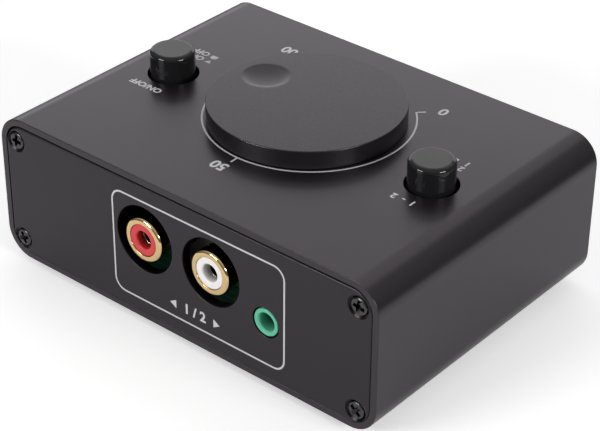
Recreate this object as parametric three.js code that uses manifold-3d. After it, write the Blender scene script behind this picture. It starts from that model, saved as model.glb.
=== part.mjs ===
// Audio source selector with a volume knob, two push buttons, six phono sockets and three 3.5 mm sockets.
// Millimetres. X runs along the output panel, -Y is the output panel, +Z is up.
// The origin is on the surface that the rubber feet stand on, under the middle of the box.

import * as THREE from 'three';
import { mergeVertices } from 'three/addons/utils/BufferGeometryUtils.js';
import Module from 'manifold-3d';

const wasm = await Module();
wasm.setup();

// Sleeve
const bodyWidth = 90;
const bodyDepth = 64.5;
const bodyHeight = 30.25;
const cornerRadius = 5.65;
const wall = 1.35;
const cutOverrun = 1;

// End panels
const panelThickness = 2;
const panelProud = 0.15;
const panelGap = 0.2;
const panelSeatGap = 0.1;

// Panel screws and the channels that take them
const screwInset = 4.25;
const screwTopInset = 4.7;
const screwBottomInset = 4.15;
const screwHeadDiameter = 3.5;
const screwHeadRim = 0.1;
const screwSink = 0.15;
const screwShankDiameter = 2;
const screwLength = 7;
const screwTip = 1;
const countersinkDiameter = 4.45;
const screwHoleDiameter = 2.5;
const screwChannelDiameter = 4.1;
const screwChannelBore = 2.3;
const screwChannelSlot = 0.9;
const recessLength = 2.2;
const recessWidth = 0.6;
const recessDepth = 0.6;

// Main board and its grooves
const boardThickness = 1.6;
const boardTopHeight = 8;
const boardEdgeGap = 0.45;
const boardEndGap = 0.3;
const grooveReach = 1.9;
const grooveGap = 0.1;
const railThickness = 1.2;
const seatGap = 0.3;
const pinReach = 0.9;
const pinHoleGap = 0.3;

// phono sockets, in pairs on one moulded body
const phonoPitch = 16;
const phonoAxisAboveBoard = 9.68;
const phonoPanelHole = 13.5;
const phonoShellDiameter = 8.36;
const phonoShellBore = 6.55;
const phonoShellLength = 9;
const phonoProud = 0.4;
const phonoRimRadius = 0.55;
const phonoFlangeDiameter = 10;
const phonoFlangeThickness = 0.6;
const phonoTabWidth = 1.4;
const phonoTabThickness = 0.5;
const phonoBodyGap = 0.1;
const phonoBodySide = 5.3;
const phonoBodyDepth = 10.8;
const phonoBodyAbove = 5.3;
const phonoBodyBore = 6.8;
const phonoBodyBoreDepth = 5.2;
const phonoBodyChamfer = 1;
const phonoBodyNotchWidth = 1.6;
const phonoBodyNotchDepth = 2.2;
const phonoInsulatorGap = 0.08;
const phonoInsulatorSink = 0.12;
const phonoInsulatorTail = 3.6;
const phonoMouthDiameter = 4.2;
const phonoMouthDepth = 0.4;
const phonoPinBore = 3.5;
const phonoLipThickness = 1.2;
const phonoContactDiameter = 3.84;
const phonoContactWall = 0.25;
const phonoContactGap = 0.08;
const phonoContactTailWidth = 1;
const phonoContactTailThickness = 0.6;
const phonoContactTailGap = 0.35;

// 3.5 mm sockets
const auxAxisAboveBoard = 5;
const auxNoseDiameter = 5.4;
const auxPanelGap = 0.3;
const auxNoseSink = 0.03;
const auxBore = 3.6;
const auxBoreChamfer = 0.25;
const auxBoreDepth = 13;
const auxBodyWidth = 8.6;
const auxBodyDepth = 12.2;
const auxBodyAbove = 3.4;
const auxBodyChamfer = 0.8;
const auxTerminalWidth = 2;
const auxTerminalThickness = 0.4;
const auxTerminalRise = 2.2;
const auxTerminalGap = 0.12;

// Places of the sockets on the two panels
const outputPairX = -0.1;
const outputAuxX = 20.67;
const sourceCentreShare = 0.06;
const sourceBetweenShare = 0.13;
const sourceRoom = bodyWidth / 2 - wall - auxBodyWidth - phonoPitch - 2 * phonoBodySide;
const sourceAuxX = sourceRoom * sourceCentreShare + auxBodyWidth / 2;
const sourceBetween = auxBodyWidth / 2 + sourceRoom * sourceBetweenShare + phonoBodySide;
const sourcePairX = sourceAuxX + sourceBetween + phonoPitch / 2;

// Volume knob
const knobX = -0.41;
const knobY = 3.44;
const knobDiameter = 37.5;
const knobTop = 3.75;
const knobGap = 0.2;
const knobTopFillet = 0.4;
const knobBottomChamfer = 0.15;
const dimpleDiameter = 9.3;
const dimpleDepth = 0.9;
const dimpleFromCentre = 12;
const dimpleAngle = THREE.MathUtils.degToRad(169.8);
const hubDiameter = 11.6;
const hubReach = 3.1;
const hubHoleDiameter = 14;
const hubBoreTop = 2.4;

// Potentiometer under the knob
const potWidth = 14;
const potDepth = 12;
const potCaseHeight = 6.8;
const potFloor = 1.2;
const potCavityDiameter = 10.8;
const potCoverThickness = 1;
const potCoverGap = 0.1;
const potCoverTab = 3;
const bushingDiameter = 7;
const bushingToHub = 3.95;
const shaftDiameter = 6;
const shaftGap = 0.08;
const shaftFlat = 1.5;
const shaftTopGap = 0.3;
const shaftTenon = 3.4;
const wiperDiameter = 10.2;
const wiperThickness = 1.8;
const wiperLift = 0.5;
const potPinRowSpacing = 5;
const potPinPitch = 5;
const potPinWidth = 1;
const potPinThickness = 0.5;

// Push buttons
const buttonInset = 14.2;
const buttonX = bodyWidth / 2 - buttonInset;
const buttonY = 0;
const buttonHoleDiameter = 9.95;
const capDiameter = 8.75;
const capRiseHeight = 5.15;
const capEdgeRadius = 0.9;
const capSkirtChamfer = 0.3;
const capCrownThickness = 1.9;
const capSocketGap = 0.12;
const leftCapOffset = -0.38;
const rightCapOffset = 0.15;
const stemWidth = 3.4;
const stemFootWidth = 4.2;
const stemFootHeight = 1.6;
const stemTopGap = 0.3;
const pressTravel = 2.5;
const switchWidth = 8.5;
const switchHeight = 11;
const switchFloor = 1.2;
const switchCornerChamfer = 0.6;
const switchWellGap = 0.2;
const switchPinPitch = 2.5;
const switchPinRowSpacing = 4.6;
const switchPinWidth = 0.7;
const switchPinThickness = 0.4;

// Return springs of the push buttons
const springWireDiameter = 0.36;
const springDiameter = 6.4;
const springEndGap = 0.3;
const springSpaceHeight = 6;
const springTurnCount = 6;

// Rubber feet
const footHeight = 1.5;
const footDiameter = 8;
const footEdge = 0.3;
const footInset = 10;
const footGlueGap = 0.05;

// Facets round a full turn
const facets = {
  corner: 7, opening: 28, shell: 22, insulator: 16, contact: 12, screw: 10, knob: 60, dimple: 20,
};
const smallFacets = {
  hole: 16, bore: 10, hub: 18, shaft: 14, cap: 28, foot: 16, aux: 18, wire: 5, curl: 8, fillet: 3,
};

// Levels and depths that follow from the sizes above
const sleeveBottom = footHeight;
const sleeveTop = footHeight + bodyHeight;
const sleeveCentre = footHeight + bodyHeight / 2;
const boardTop = footHeight + boardTopHeight;
const boardBottom = boardTop - boardThickness;
const pocketDepth = panelThickness - panelProud + panelSeatGap;
const faceY = bodyDepth / 2 + panelProud;
const phonoAxis = boardTop + phonoAxisAboveBoard;
const auxAxis = boardTop + auxAxisAboveBoard;
const pinTip = boardThickness + pinReach;

// Turns a three.js geometry into a solid, with its faces outwards and its shared corners merged
function solid(geometry) {
  const bare = geometry.clone();
  bare.deleteAttribute('normal');
  bare.deleteAttribute('uv');
  const merged = mergeVertices(bare);
  const positions = merged.attributes.position.array;
  const index = merged.index.array;
  const corner = (k) => new THREE.Vector3().fromArray(positions, 3 * index[k]);
  const kept = [];
  let volume = 0;
  for (let k = 0; k < index.length; k += 3) {
    const [a, b, c] = [index[k], index[k + 1], index[k + 2]];
    if (a === b || b === c || c === a) continue;
    volume += corner(k).dot(corner(k + 1).cross(corner(k + 2)));
    kept.push(a, b, c);
  }
  if (volume < 0) kept.reverse();
  return new wasm.Manifold(new wasm.Mesh({
    numProp: 3,
    vertProperties: new Float32Array(positions),
    triVerts: new Uint32Array(kept),
  }));
}

// Joins a list of solids
function joined(parts) {
  return parts.reduce((whole, part) => whole.add(part));
}

// Cuts a list of solids out of one
function cut(body, tools) {
  return tools.reduce((left, tool) => left.subtract(tool), body);
}

// A block by its middle and its three sizes
function block(width, depth, height, x, y, z) {
  return solid(new THREE.BoxGeometry(width, depth, height).translate(x, y, z));
}

// A block that stands on z
function standing(width, depth, height, x, y, z) {
  return block(width, depth, height, x, y, z + height / 2);
}

// A round bar along Y between two depths, with a radius at each end
function barY(startRadius, endRadius, start, end, sides, x, z) {
  const bar = new THREE.CylinderGeometry(endRadius, startRadius, end - start, sides);
  return solid(bar.translate(x, (start + end) / 2, z));
}

// A round bar along Z between two heights
function barZ(radius, bottom, top, sides, x, y) {
  const bar = new THREE.CylinderGeometry(radius, radius, top - bottom, sides).rotateX(Math.PI / 2);
  return solid(bar.translate(x, y, (bottom + top) / 2));
}

// A turned piece about Y from pairs of radius and depth
function turnedY(profile, sides) {
  return solid(new THREE.LatheGeometry(profile.map(([r, y]) => new THREE.Vector2(r, y)), sides));
}

// A turned piece about Z from pairs of radius and height
function turnedZ(profile, sides) {
  const points = profile.map(([r, z]) => new THREE.Vector2(r, z));
  return solid(new THREE.LatheGeometry(points, sides).rotateX(Math.PI / 2));
}

// A closed ring profile ends where it starts
function ring(profile) {
  return [...profile, profile[0]];
}

// A rounded rectangle round the origin
function roundedRectangle(width, height, radius) {
  const shape = new THREE.Shape();
  const [x, y] = [width / 2 - radius, height / 2 - radius];
  shape.absarc(x, y, radius, 0, Math.PI / 2, false);
  shape.absarc(-x, y, radius, Math.PI / 2, Math.PI, false);
  shape.absarc(-x, -y, radius, Math.PI, 1.5 * Math.PI, false);
  shape.absarc(x, -y, radius, 1.5 * Math.PI, 2 * Math.PI, false);
  shape.closePath();
  return shape;
}

// A section in X and Z, drawn out along Y between two depths
function drawnY(shape, start, end, z) {
  const options = { depth: end - start, bevelEnabled: false, curveSegments: facets.corner };
  return solid(new THREE.ExtrudeGeometry(shape, options).rotateX(Math.PI / 2).translate(0, end, z));
}

// An outline in X and Y, drawn up along Z between two heights
function drawnZ(shape, bottom, top) {
  const options = { depth: top - bottom, bevelEnabled: false, curveSegments: facets.corner };
  return solid(new THREE.ExtrudeGeometry(shape, options).translate(0, 0, bottom));
}

// A square outline with cut corners
function chamferedRectangle(width, height, chamfer) {
  const [x, y] = [width / 2, height / 2];
  const corners = [
    [x, y - chamfer], [x - chamfer, y], [chamfer - x, y], [-x, y - chamfer],
    [-x, chamfer - y], [chamfer - x, -y], [x - chamfer, -y], [x, chamfer - y],
  ];
  return new THREE.Shape(corners.map(([u, v]) => new THREE.Vector2(u, v)));
}

// Materials
const looks = {
  aluminium: { color: 0x5b5a5d, roughness: 0.42, metalness: 0.75 },
  knobAluminium: { color: 0x5f5e61, roughness: 0.38, metalness: 0.75 },
  screwBlack: { color: 0x1b1b1c, roughness: 0.35, metalness: 0.8 },
  glossBlack: { color: 0x101012, roughness: 0.12, metalness: 0 },
  gold: { color: 0xd9b45a, roughness: 0.18, metalness: 1 },
  red: { color: 0xc01c1c, roughness: 0.35, metalness: 0 },
  white: { color: 0xeeece6, roughness: 0.35, metalness: 0 },
  blackMoulding: { color: 0x1a1a1b, roughness: 0.6, metalness: 0 },
  green: { color: 0x79c9a0, roughness: 0.4, metalness: 0 },
  board: { color: 0x1f6b45, roughness: 0.45, metalness: 0 },
  tin: { color: 0xb9bbbd, roughness: 0.35, metalness: 1 },
  brass: { color: 0xb89b54, roughness: 0.35, metalness: 1 },
  nylon: { color: 0xe4e2da, roughness: 0.5, metalness: 0 },
  rubber: { color: 0x161616, roughness: 0.9, metalness: 0 },
  springSteel: { color: 0xa7a9ab, roughness: 0.3, metalness: 1 },
};

function material(look) {
  return new THREE.MeshStandardMaterial(looks[look]);
}

// A named mesh from a finished solid
function piece(name, look, body) {
  const { vertProperties, triVerts } = body.getMesh();
  const geometry = new THREE.BufferGeometry();
  geometry.setAttribute('position', new THREE.BufferAttribute(new Float32Array(vertProperties), 3));
  geometry.setIndex(new THREE.BufferAttribute(new Uint32Array(triVerts), 1));
  geometry.computeVertexNormals();
  const mesh = new THREE.Mesh(geometry, material(look));
  mesh.name = name;
  return mesh;
}

// Puts a mesh or a group in its place
function at(node, x, y, z) {
  node.position.set(x, y, z);
  return node;
}

// The four screw places of a panel, from the middle of the sleeve's section
function screwPlaces() {
  const x = bodyWidth / 2 - screwInset;
  const [low, high] = [screwBottomInset - bodyHeight / 2, bodyHeight / 2 - screwTopInset];
  return [[-x, low], [x, low], [-x, high], [x, high]];
}

// Aluminium sleeve: one drawn section with screw channels and board grooves, milled back at both ends
function sleeve() {
  const halfDepth = bodyDepth / 2;
  const innerRadius = cornerRadius - wall;
  const outer = drawnY(roundedRectangle(bodyWidth, bodyHeight, cornerRadius), -halfDepth, halfDepth, 0);
  const hollow = roundedRectangle(bodyWidth - 2 * wall, bodyHeight - 2 * wall, innerRadius);
  const inner = drawnY(hollow, -halfDepth - cutOverrun, halfDepth + cutOverrun, 0);
  const ribEnd = halfDepth - pocketDepth;
  const ribs = [];
  const bores = [];
  for (const [x, z] of screwPlaces()) {
    const [sideX, sideZ] = [Math.sign(x), Math.sign(z)];
    const channel = screwChannelDiameter / 2;
    const rise = bodyHeight / 2 - Math.abs(z);
    ribs.push(barY(channel, channel, -ribEnd, ribEnd, smallFacets.hole, x, z));
    ribs.push(block(screwInset, 2 * ribEnd, rise, x + sideX * screwInset / 2, 0, z + sideZ * rise / 2));
    ribs.push(block(screwInset, 2 * ribEnd, channel, x + sideX * screwInset / 2, 0, z - sideZ * channel / 2));
    ribs.push(block(channel, 2 * ribEnd, rise, x - sideX * channel / 2, 0, z + sideZ * rise / 2));
    const bore = screwChannelBore / 2;
    bores.push(barY(bore, bore, -ribEnd - cutOverrun, ribEnd + cutOverrun, smallFacets.bore, x, z));
    const reach = channel + cutOverrun;
    bores.push(block(reach, 2 * (ribEnd + cutOverrun), screwChannelSlot, x - sideX * reach / 2, 0, z));
  }
  const wallX = bodyWidth / 2 - wall;
  const bottom = boardBottom - sleeveCentre - grooveGap - railThickness / 2;
  const top = boardTop - sleeveCentre + grooveGap + railThickness / 2;
  const railWidth = grooveReach + wall / 2;
  for (const side of [-1, 1]) {
    for (const z of [bottom, top]) {
      const x = side * (wallX - grooveReach + railWidth / 2);
      ribs.push(block(railWidth, 2 * ribEnd, railThickness, x, 0, z));
    }
  }
  const openings = [topOpening(hubHoleDiameter, knobX, knobY)];
  for (const side of [-1, 1]) openings.push(topOpening(buttonHoleDiameter, side * buttonX, buttonY));
  const ribbed = outer.subtract(inner).add(joined(ribs).intersect(outer));
  return at(piece('housing_sleeve', 'aluminium', cut(ribbed, [...bores, ...openings])), 0, 0, sleeveCentre);
}

// A round opening through the top of the sleeve, seen from the middle of its section
function topOpening(diameter, x, y) {
  const under = bodyHeight / 2 - wall - cutOverrun;
  return barZ(diameter / 2, under, bodyHeight / 2 + cutOverrun, facets.opening, x, y);
}

// End panel with its outer face at y = 0 and the box behind it, seen from the middle of the section
function endPanel(name, pairPlaces, auxPlaces) {
  const edge = wall + panelGap;
  const outline = roundedRectangle(bodyWidth - 2 * edge, bodyHeight - 2 * edge, cornerRadius - edge);
  const plate = drawnY(outline, 0, panelThickness, 0);
  const through = panelThickness + cutOverrun;
  const tools = [];
  for (const x of pairPlaces) {
    const radius = phonoPanelHole / 2;
    tools.push(barY(radius, radius, -cutOverrun, through, facets.opening, x, phonoAxis - sleeveCentre));
  }
  for (const x of auxPlaces) {
    const radius = auxNoseDiameter / 2 + auxPanelGap;
    tools.push(barY(radius, radius, -cutOverrun, through, smallFacets.aux, x, auxAxis - sleeveCentre));
  }
  for (const [x, z] of screwPlaces()) {
    const [mouth, hole] = [countersinkDiameter / 2, screwHoleDiameter / 2];
    tools.push(barY(hole, hole, -cutOverrun, through, smallFacets.hole, x, z));
    tools.push(barY(mouth + cutOverrun, hole, -cutOverrun, mouth - hole, smallFacets.hole, x, z));
  }
  return at(piece(name, 'aluminium', cut(plate, tools)), 0, 0, sleeveCentre);
}

// Countersunk screw with a cross recess, its head at y = 0 and its tip inside
function panelScrew(name, x, z) {
  const [head, shank] = [screwHeadDiameter / 2, screwShankDiameter / 2];
  const coneEnd = screwSink + screwHeadRim + head - shank;
  const profile = [
    [0, screwSink],
    [head, screwSink],
    [head, screwSink + screwHeadRim],
    [shank, coneEnd],
    [shank, screwLength - screwTip],
    [0, screwLength],
  ];
  const slot = screwSink + recessDepth / 2 - cutOverrun / 2;
  const deep = recessDepth + cutOverrun;
  const recess = joined([
    block(recessLength, deep, recessWidth, 0, slot, 0),
    block(recessWidth, deep, recessLength, 0, slot, 0),
  ]);
  const body = turnedY(profile, facets.screw).subtract(recess);
  return at(piece(name, 'screwBlack', body), x, 0, sleeveCentre + z);
}

// Phono shell: plated tube with a flange at the back and a ground tab that goes through the board
function phonoShell(name) {
  const [outer, inner, flange] = [phonoShellDiameter / 2, phonoShellBore / 2, phonoFlangeDiameter / 2];
  const flangeEnd = phonoShellLength + phonoFlangeThickness;
  const rimShoulder = 1 - Math.SQRT1_2;
  const tube = turnedY(ring([
    [inner, -phonoProud],
    [outer - phonoRimRadius, -phonoProud],
    [outer - phonoRimRadius * rimShoulder, -phonoProud + phonoRimRadius * rimShoulder],
    [outer, -phonoProud + phonoRimRadius],
    [outer, phonoShellLength],
    [flange, phonoShellLength],
    [flange, flangeEnd],
    [inner, flangeEnd],
  ]), facets.shell);
  const [tabTop, tabTip] = [-(inner + flange) / 2, -phonoAxisAboveBoard - pinTip];
  const tabY = flangeEnd - phonoTabThickness / 2;
  const tab = standing(phonoTabWidth, phonoTabThickness, tabTop - tabTip, 0, tabY, tabTip);
  return piece(name, 'gold', tube.add(tab));
}

// Phono insulator: coloured tube with a coned mouth and a lip in front of the contact
function phonoInsulator(name, look) {
  const outer = phonoShellBore / 2 - phonoInsulatorGap;
  const [mouth, bore] = [phonoMouthDiameter / 2, phonoPinBore / 2];
  const back = phonoContactDiameter / 2 + phonoContactGap;
  const front = phonoInsulatorSink - phonoProud;
  const end = phonoShellLength + phonoFlangeThickness + phonoInsulatorTail;
  const tube = turnedY(ring([
    [mouth, front],
    [outer, front],
    [outer, end],
    [back, end],
    [back, front + phonoLipThickness],
    [bore, front + phonoLipThickness],
    [bore, front + phonoMouthDepth],
  ]), facets.insulator);
  return piece(name, look, tube);
}

// Phono centre contact: a plated cup for the plug's pin, with its tail down through the board
function phonoContact(name) {
  const outer = phonoContactDiameter / 2;
  const inner = outer - phonoContactWall;
  const front = phonoInsulatorSink - phonoProud + phonoLipThickness + phonoContactGap;
  const tailY = phonoShellLength + phonoFlangeThickness + phonoInsulatorTail + phonoContactTailGap;
  const end = tailY + phonoContactTailThickness;
  const profile = [[0, tailY], [inner, tailY], [inner, front], [outer, front], [outer, end], [0, end]];
  const cup = turnedY(profile, facets.contact);
  const tip = -phonoAxisAboveBoard - pinTip;
  const middle = tailY + phonoContactTailThickness / 2;
  const tail = standing(phonoContactTailWidth, phonoContactTailThickness, -tip, 0, middle, tip);
  return piece(name, 'gold', cup.add(tail));
}

// Moulded body that holds one pair of phono sockets on the board
function phonoBody(name) {
  const front = phonoShellLength + phonoFlangeThickness + phonoBodyGap;
  const bottom = -phonoAxisAboveBoard + seatGap;
  const width = phonoPitch + 2 * phonoBodySide;
  const height = phonoBodyAbove - bottom;
  const end = front + phonoBodyDepth;
  const middleZ = (phonoBodyAbove + bottom) / 2;
  const body = drawnY(chamferedRectangle(width, height, phonoBodyChamfer), front, end, middleZ);
  const tools = [];
  const tailY = phonoShellLength + phonoFlangeThickness + phonoInsulatorTail + phonoContactTailGap;
  const slotEnd = tailY + phonoContactTailThickness + phonoContactTailGap;
  for (const x of [-phonoPitch / 2, phonoPitch / 2]) {
    const bore = phonoBodyBore / 2;
    tools.push(barY(bore, bore, front - cutOverrun, front + phonoBodyBoreDepth, facets.shell, x, 0));
    const slotWidth = phonoContactTailWidth + 2 * phonoContactTailGap;
    const slotDepth = slotEnd - tailY + phonoContactTailGap;
    const slotY = slotEnd - slotDepth / 2;
    tools.push(standing(slotWidth, slotDepth, cutOverrun - bottom, x, slotY, bottom - cutOverrun));
  }
  const notch = phonoBodyNotchDepth + cutOverrun;
  const notchZ = phonoBodyAbove - phonoBodyNotchDepth;
  const notchLength = phonoBodyDepth + 2 * cutOverrun;
  tools.push(standing(phonoBodyNotchWidth, notchLength, notch, 0, (front + end) / 2, notchZ));
  return piece(name, 'blackMoulding', cut(body, tools));
}

// 3.5 mm socket: round nose in the panel and a square body on the board, moulded in one
function auxSocket(name) {
  const [nose, bore] = [auxNoseDiameter / 2, auxBore / 2];
  const front = panelThickness + panelSeatGap + seatGap;
  const bottom = -auxAxisAboveBoard + seatGap;
  const height = auxBodyAbove - bottom;
  const section = chamferedRectangle(auxBodyWidth, height, auxBodyChamfer);
  const body = drawnY(section, front, front + auxBodyDepth, (auxBodyAbove + bottom) / 2);
  const round = barY(nose, nose, auxNoseSink, front + auxBodyChamfer, smallFacets.aux, 0, 0);
  const mouth = bore + auxBoreChamfer;
  const tools = [
    barY(bore, bore, -cutOverrun, auxBoreDepth, smallFacets.aux, 0, 0),
    barY(
      mouth + cutOverrun, bore, auxNoseSink - cutOverrun, auxNoseSink + auxBoreChamfer,
      smallFacets.aux, 0, 0,
    ),
  ];
  const notchY = front + auxBodyDepth;
  const notchWidth = auxTerminalWidth + 2 * auxTerminalGap;
  const notchDeep = auxTerminalThickness + auxTerminalGap;
  const notchHigh = auxTerminalRise + auxTerminalGap + cutOverrun - bottom;
  tools.push(standing(notchWidth, 2 * notchDeep, notchHigh, 0, notchY, bottom - cutOverrun));
  return piece(name, 'green', cut(body.add(round), tools));
}

// Terminal of a 3.5 mm socket: a strip let in the back of the body, with a narrow tail through the board
function auxTerminal(name) {
  const back = panelThickness + panelSeatGap + seatGap + auxBodyDepth;
  const y = back - auxTerminalThickness / 2;
  const [top, shoulder] = [auxTerminalRise, -auxAxisAboveBoard + seatGap];
  const tip = -auxAxisAboveBoard - pinTip;
  const strip = standing(auxTerminalWidth, auxTerminalThickness, top - shoulder, 0, y, shoulder);
  const tail = standing(auxTerminalWidth / 2, auxTerminalThickness, -tip, 0, y, tip);
  return piece(name, 'tin', strip.add(tail));
}

// Places along a panel of the two sockets of a pair
function pairAt(x) {
  return [x - phonoPitch / 2, x + phonoPitch / 2];
}

// One pair of phono sockets with its body, left one first as seen from outside the panel
function phonoPair(name, x) {
  const pair = at(new THREE.Group(), x, 0, phonoAxis);
  pair.add(phonoBody(`${name}_phono_body`));
  const sides = [['left', -phonoPitch / 2, 'red'], ['right', phonoPitch / 2, 'white']];
  for (const [side, offset, look] of sides) {
    const socket = at(new THREE.Group(), offset, 0, 0);
    socket.add(phonoShell(`${name}_phono_${side}_shell`));
    socket.add(phonoInsulator(`${name}_phono_${side}_insulator`, look));
    socket.add(phonoContact(`${name}_phono_${side}_contact`));
    pair.add(socket);
  }
  return pair;
}

// One 3.5 mm socket with its terminal
function auxPair(name, x) {
  const socket = at(new THREE.Group(), x, 0, auxAxis);
  socket.add(auxSocket(`${name}_jack_body`));
  socket.add(auxTerminal(`${name}_jack_terminal`));
  return socket;
}

// Everything on one end of the box, in the panel's own frame
function panelEnd(name, groups) {
  const end = new THREE.Group();
  const pairPlaces = groups.flatMap(({ pairX }) => pairAt(pairX));
  end.add(endPanel(`${name}_panel`, pairPlaces, groups.map(({ auxX }) => auxX)));
  screwPlaces().forEach(([x, z], k) => end.add(panelScrew(`${name}_panel_screw_${k + 1}`, x, z)));
  for (const group of groups) {
    end.add(phonoPair(group.name, group.pairX));
    end.add(auxPair(group.name, group.auxX));
  }
  return end;
}

const outputGroups = [{ name: 'output', pairX: outputPairX, auxX: outputAuxX }];
const sourceGroups = [
  { name: 'source_a', pairX: -sourcePairX, auxX: -sourceAuxX },
  { name: 'source_b', pairX: sourcePairX, auxX: sourceAuxX },
];

// Pin places on the board: x, y, width and thickness of each pin
function boardPins() {
  const pins = [];
  const ends = [{ groups: outputGroups, side: -1 }, { groups: sourceGroups, side: 1 }];
  for (const { groups, side } of ends) {
    const inward = (depth) => side * (faceY - depth);
    for (const { pairX, auxX } of groups) {
      const tabY = inward(phonoShellLength + phonoFlangeThickness - phonoTabThickness / 2);
      const tailDepth = phonoShellLength + phonoFlangeThickness + phonoInsulatorTail + phonoContactTailGap;
      const tailY = inward(tailDepth + phonoContactTailThickness / 2);
      for (const x of pairAt(pairX)) {
        pins.push([-side * x, tabY, phonoTabWidth, phonoTabThickness]);
        pins.push([-side * x, tailY, phonoContactTailWidth, phonoContactTailThickness]);
      }
      const auxDepth = panelThickness + panelSeatGap + seatGap + auxBodyDepth - auxTerminalThickness / 2;
      pins.push([-side * auxX, inward(auxDepth), auxTerminalWidth / 2, auxTerminalThickness]);
    }
  }
  for (const [x, y] of potPins()) pins.push([knobX + x, knobY + y, potPinWidth, potPinThickness]);
  for (const side of [-1, 1]) {
    for (const [x, y] of switchPins()) {
      pins.push([capX(side) + x, buttonY + y, switchPinWidth, switchPinThickness]);
    }
  }
  return pins;
}

// Main board with a slot for each pin
function mainBoard() {
  const width = bodyWidth - 2 * (wall + boardEdgeGap);
  const depth = 2 * (faceY - panelThickness - boardEndGap);
  const plate = drawnZ(new THREE.Shape([
    new THREE.Vector2(-width / 2, -depth / 2),
    new THREE.Vector2(width / 2, -depth / 2),
    new THREE.Vector2(width / 2, depth / 2),
    new THREE.Vector2(-width / 2, depth / 2),
  ]), -boardThickness, 0);
  const through = boardThickness + 2 * cutOverrun;
  const slots = boardPins().map(([x, y, wide, thick]) => block(
    wide + 2 * pinHoleGap, thick + 2 * pinHoleGap, through, x, y, -boardThickness / 2,
  ));
  return at(piece('main_board', 'board', cut(plate, slots)), 0, 0, boardTop);
}

// A pin that hangs from z through the board
function pin(width, thickness, x, y, z) {
  const length = z + pinTip;
  return standing(width, thickness, length, x, y, z - length);
}

// The six pins of the potentiometer, in two rows
function potPins() {
  const places = [];
  for (const row of [-potPinRowSpacing / 2, potPinRowSpacing / 2]) {
    for (const x of [-potPinPitch, 0, potPinPitch]) places.push([x, row]);
  }
  return places;
}

// Potentiometer case: a moulded cup, open at the top, with its pins below
function potCase() {
  const cup = standing(potWidth, potDepth, potCaseHeight, 0, 0, seatGap);
  const [floor, mouth] = [seatGap + potFloor, seatGap + potCaseHeight + cutOverrun];
  const cavity = barZ(potCavityDiameter / 2, floor, mouth, smallFacets.hub, 0, 0);
  const pins = potPins().map(([x, y]) => pin(potPinWidth, potPinThickness, x, y, seatGap + potFloor / 2));
  return piece('pot_case', 'blackMoulding', cup.subtract(cavity).add(joined(pins)));
}

// Potentiometer cover: a plate with side tabs folded down, and the bushing
function potCover() {
  const bottom = seatGap + potCaseHeight + potCoverGap;
  const tabX = potWidth / 2 + potCoverGap + potCoverThickness / 2;
  const width = potWidth + 2 * (potCoverGap + potCoverThickness);
  const bushingTop = sleeveTop - boardTop - hubReach - bushingToHub;
  const tabs = [-1, 1].map((side) => standing(
    potCoverThickness, potDepth / 2, potCoverTab + potCoverThickness, side * tabX, 0, bottom - potCoverTab,
  ));
  const whole = joined([
    standing(width, potDepth, potCoverThickness, 0, 0, bottom),
    barZ(bushingDiameter / 2, bottom + potCoverThickness / 2, bushingTop, smallFacets.hub, 0, 0),
    ...tabs,
  ]);
  const bore = shaftDiameter / 2 + shaftGap;
  return piece('pot_cover', 'tin', cut(whole, [
    barZ(bore, bottom - cutOverrun, bushingTop + cutOverrun, smallFacets.shaft, 0, 0),
  ]));
}

// Height of the wiper's underside and of the shaft's top over the board
const wiperBottom = seatGap + potFloor + wiperLift;
const shaftTop = sleeveTop - boardTop + hubBoreTop - shaftTopGap;

// The part of a round shaft that its flat takes away
function flatCut(radius, bottom, top) {
  const width = 2 * (radius + cutOverrun);
  const depth = shaftFlat + cutOverrun;
  const y = radius - shaftFlat + depth / 2;
  return standing(width, depth, top - bottom, 0, y, bottom);
}

// Potentiometer shaft: round in the bushing, with a flat in the knob and a square tenon in the wiper
function potShaft() {
  const radius = shaftDiameter / 2;
  const shoulder = wiperBottom + wiperThickness + seatGap;
  const hubBottom = sleeveTop - boardTop - hubReach;
  const bar = barZ(radius, shoulder, shaftTop, smallFacets.shaft, 0, 0);
  const tenon = standing(shaftTenon, shaftTenon, shoulder + wiperLift - wiperBottom, 0, 0, wiperBottom);
  const flatted = bar.subtract(flatCut(radius, hubBottom, shaftTop + cutOverrun));
  return piece('pot_shaft', 'brass', flatted.add(tenon));
}

// Potentiometer wiper: a disc with a square eye on the shaft's tenon
function potWiper() {
  const disc = barZ(wiperDiameter / 2, wiperBottom, wiperBottom + wiperThickness, smallFacets.hub, 0, 0);
  const eye = shaftTenon + 2 * shaftGap;
  return piece('pot_wiper', 'nylon', disc.subtract(block(eye, eye, 2 * potCaseHeight, 0, 0, wiperBottom)));
}

// Volume knob: a flat turned disc with a finger dimple and a hub that reaches down to the shaft
function volumeKnob() {
  const [radius, hub] = [knobDiameter / 2, hubDiameter / 2];
  const profile = [[0, -hubReach], [hub, -hubReach], [hub, knobGap]];
  profile.push([radius - knobBottomChamfer, knobGap], [radius, knobGap + knobBottomChamfer]);
  const steps = smallFacets.fillet;
  for (let k = 0; k <= steps; k += 1) {
    const angle = k / steps * Math.PI / 2;
    const inset = knobTopFillet * (1 - Math.cos(angle));
    profile.push([radius - inset, knobTop - knobTopFillet * (1 - Math.sin(angle))]);
  }
  profile.push([0, knobTop]);
  const bore = shaftDiameter / 2 + shaftGap;
  const hole = barZ(bore, -hubReach - cutOverrun, hubBoreTop, smallFacets.shaft, 0, 0);
  const keyed = hole.subtract(flatCut(bore, -hubReach - cutOverrun, hubBoreTop + cutOverrun));
  const body = cut(turnedZ(profile, facets.knob), [keyed, dimple()]);
  return at(piece('volume_knob', 'knobAluminium', body), knobX, knobY, sleeveTop);
}

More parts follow.
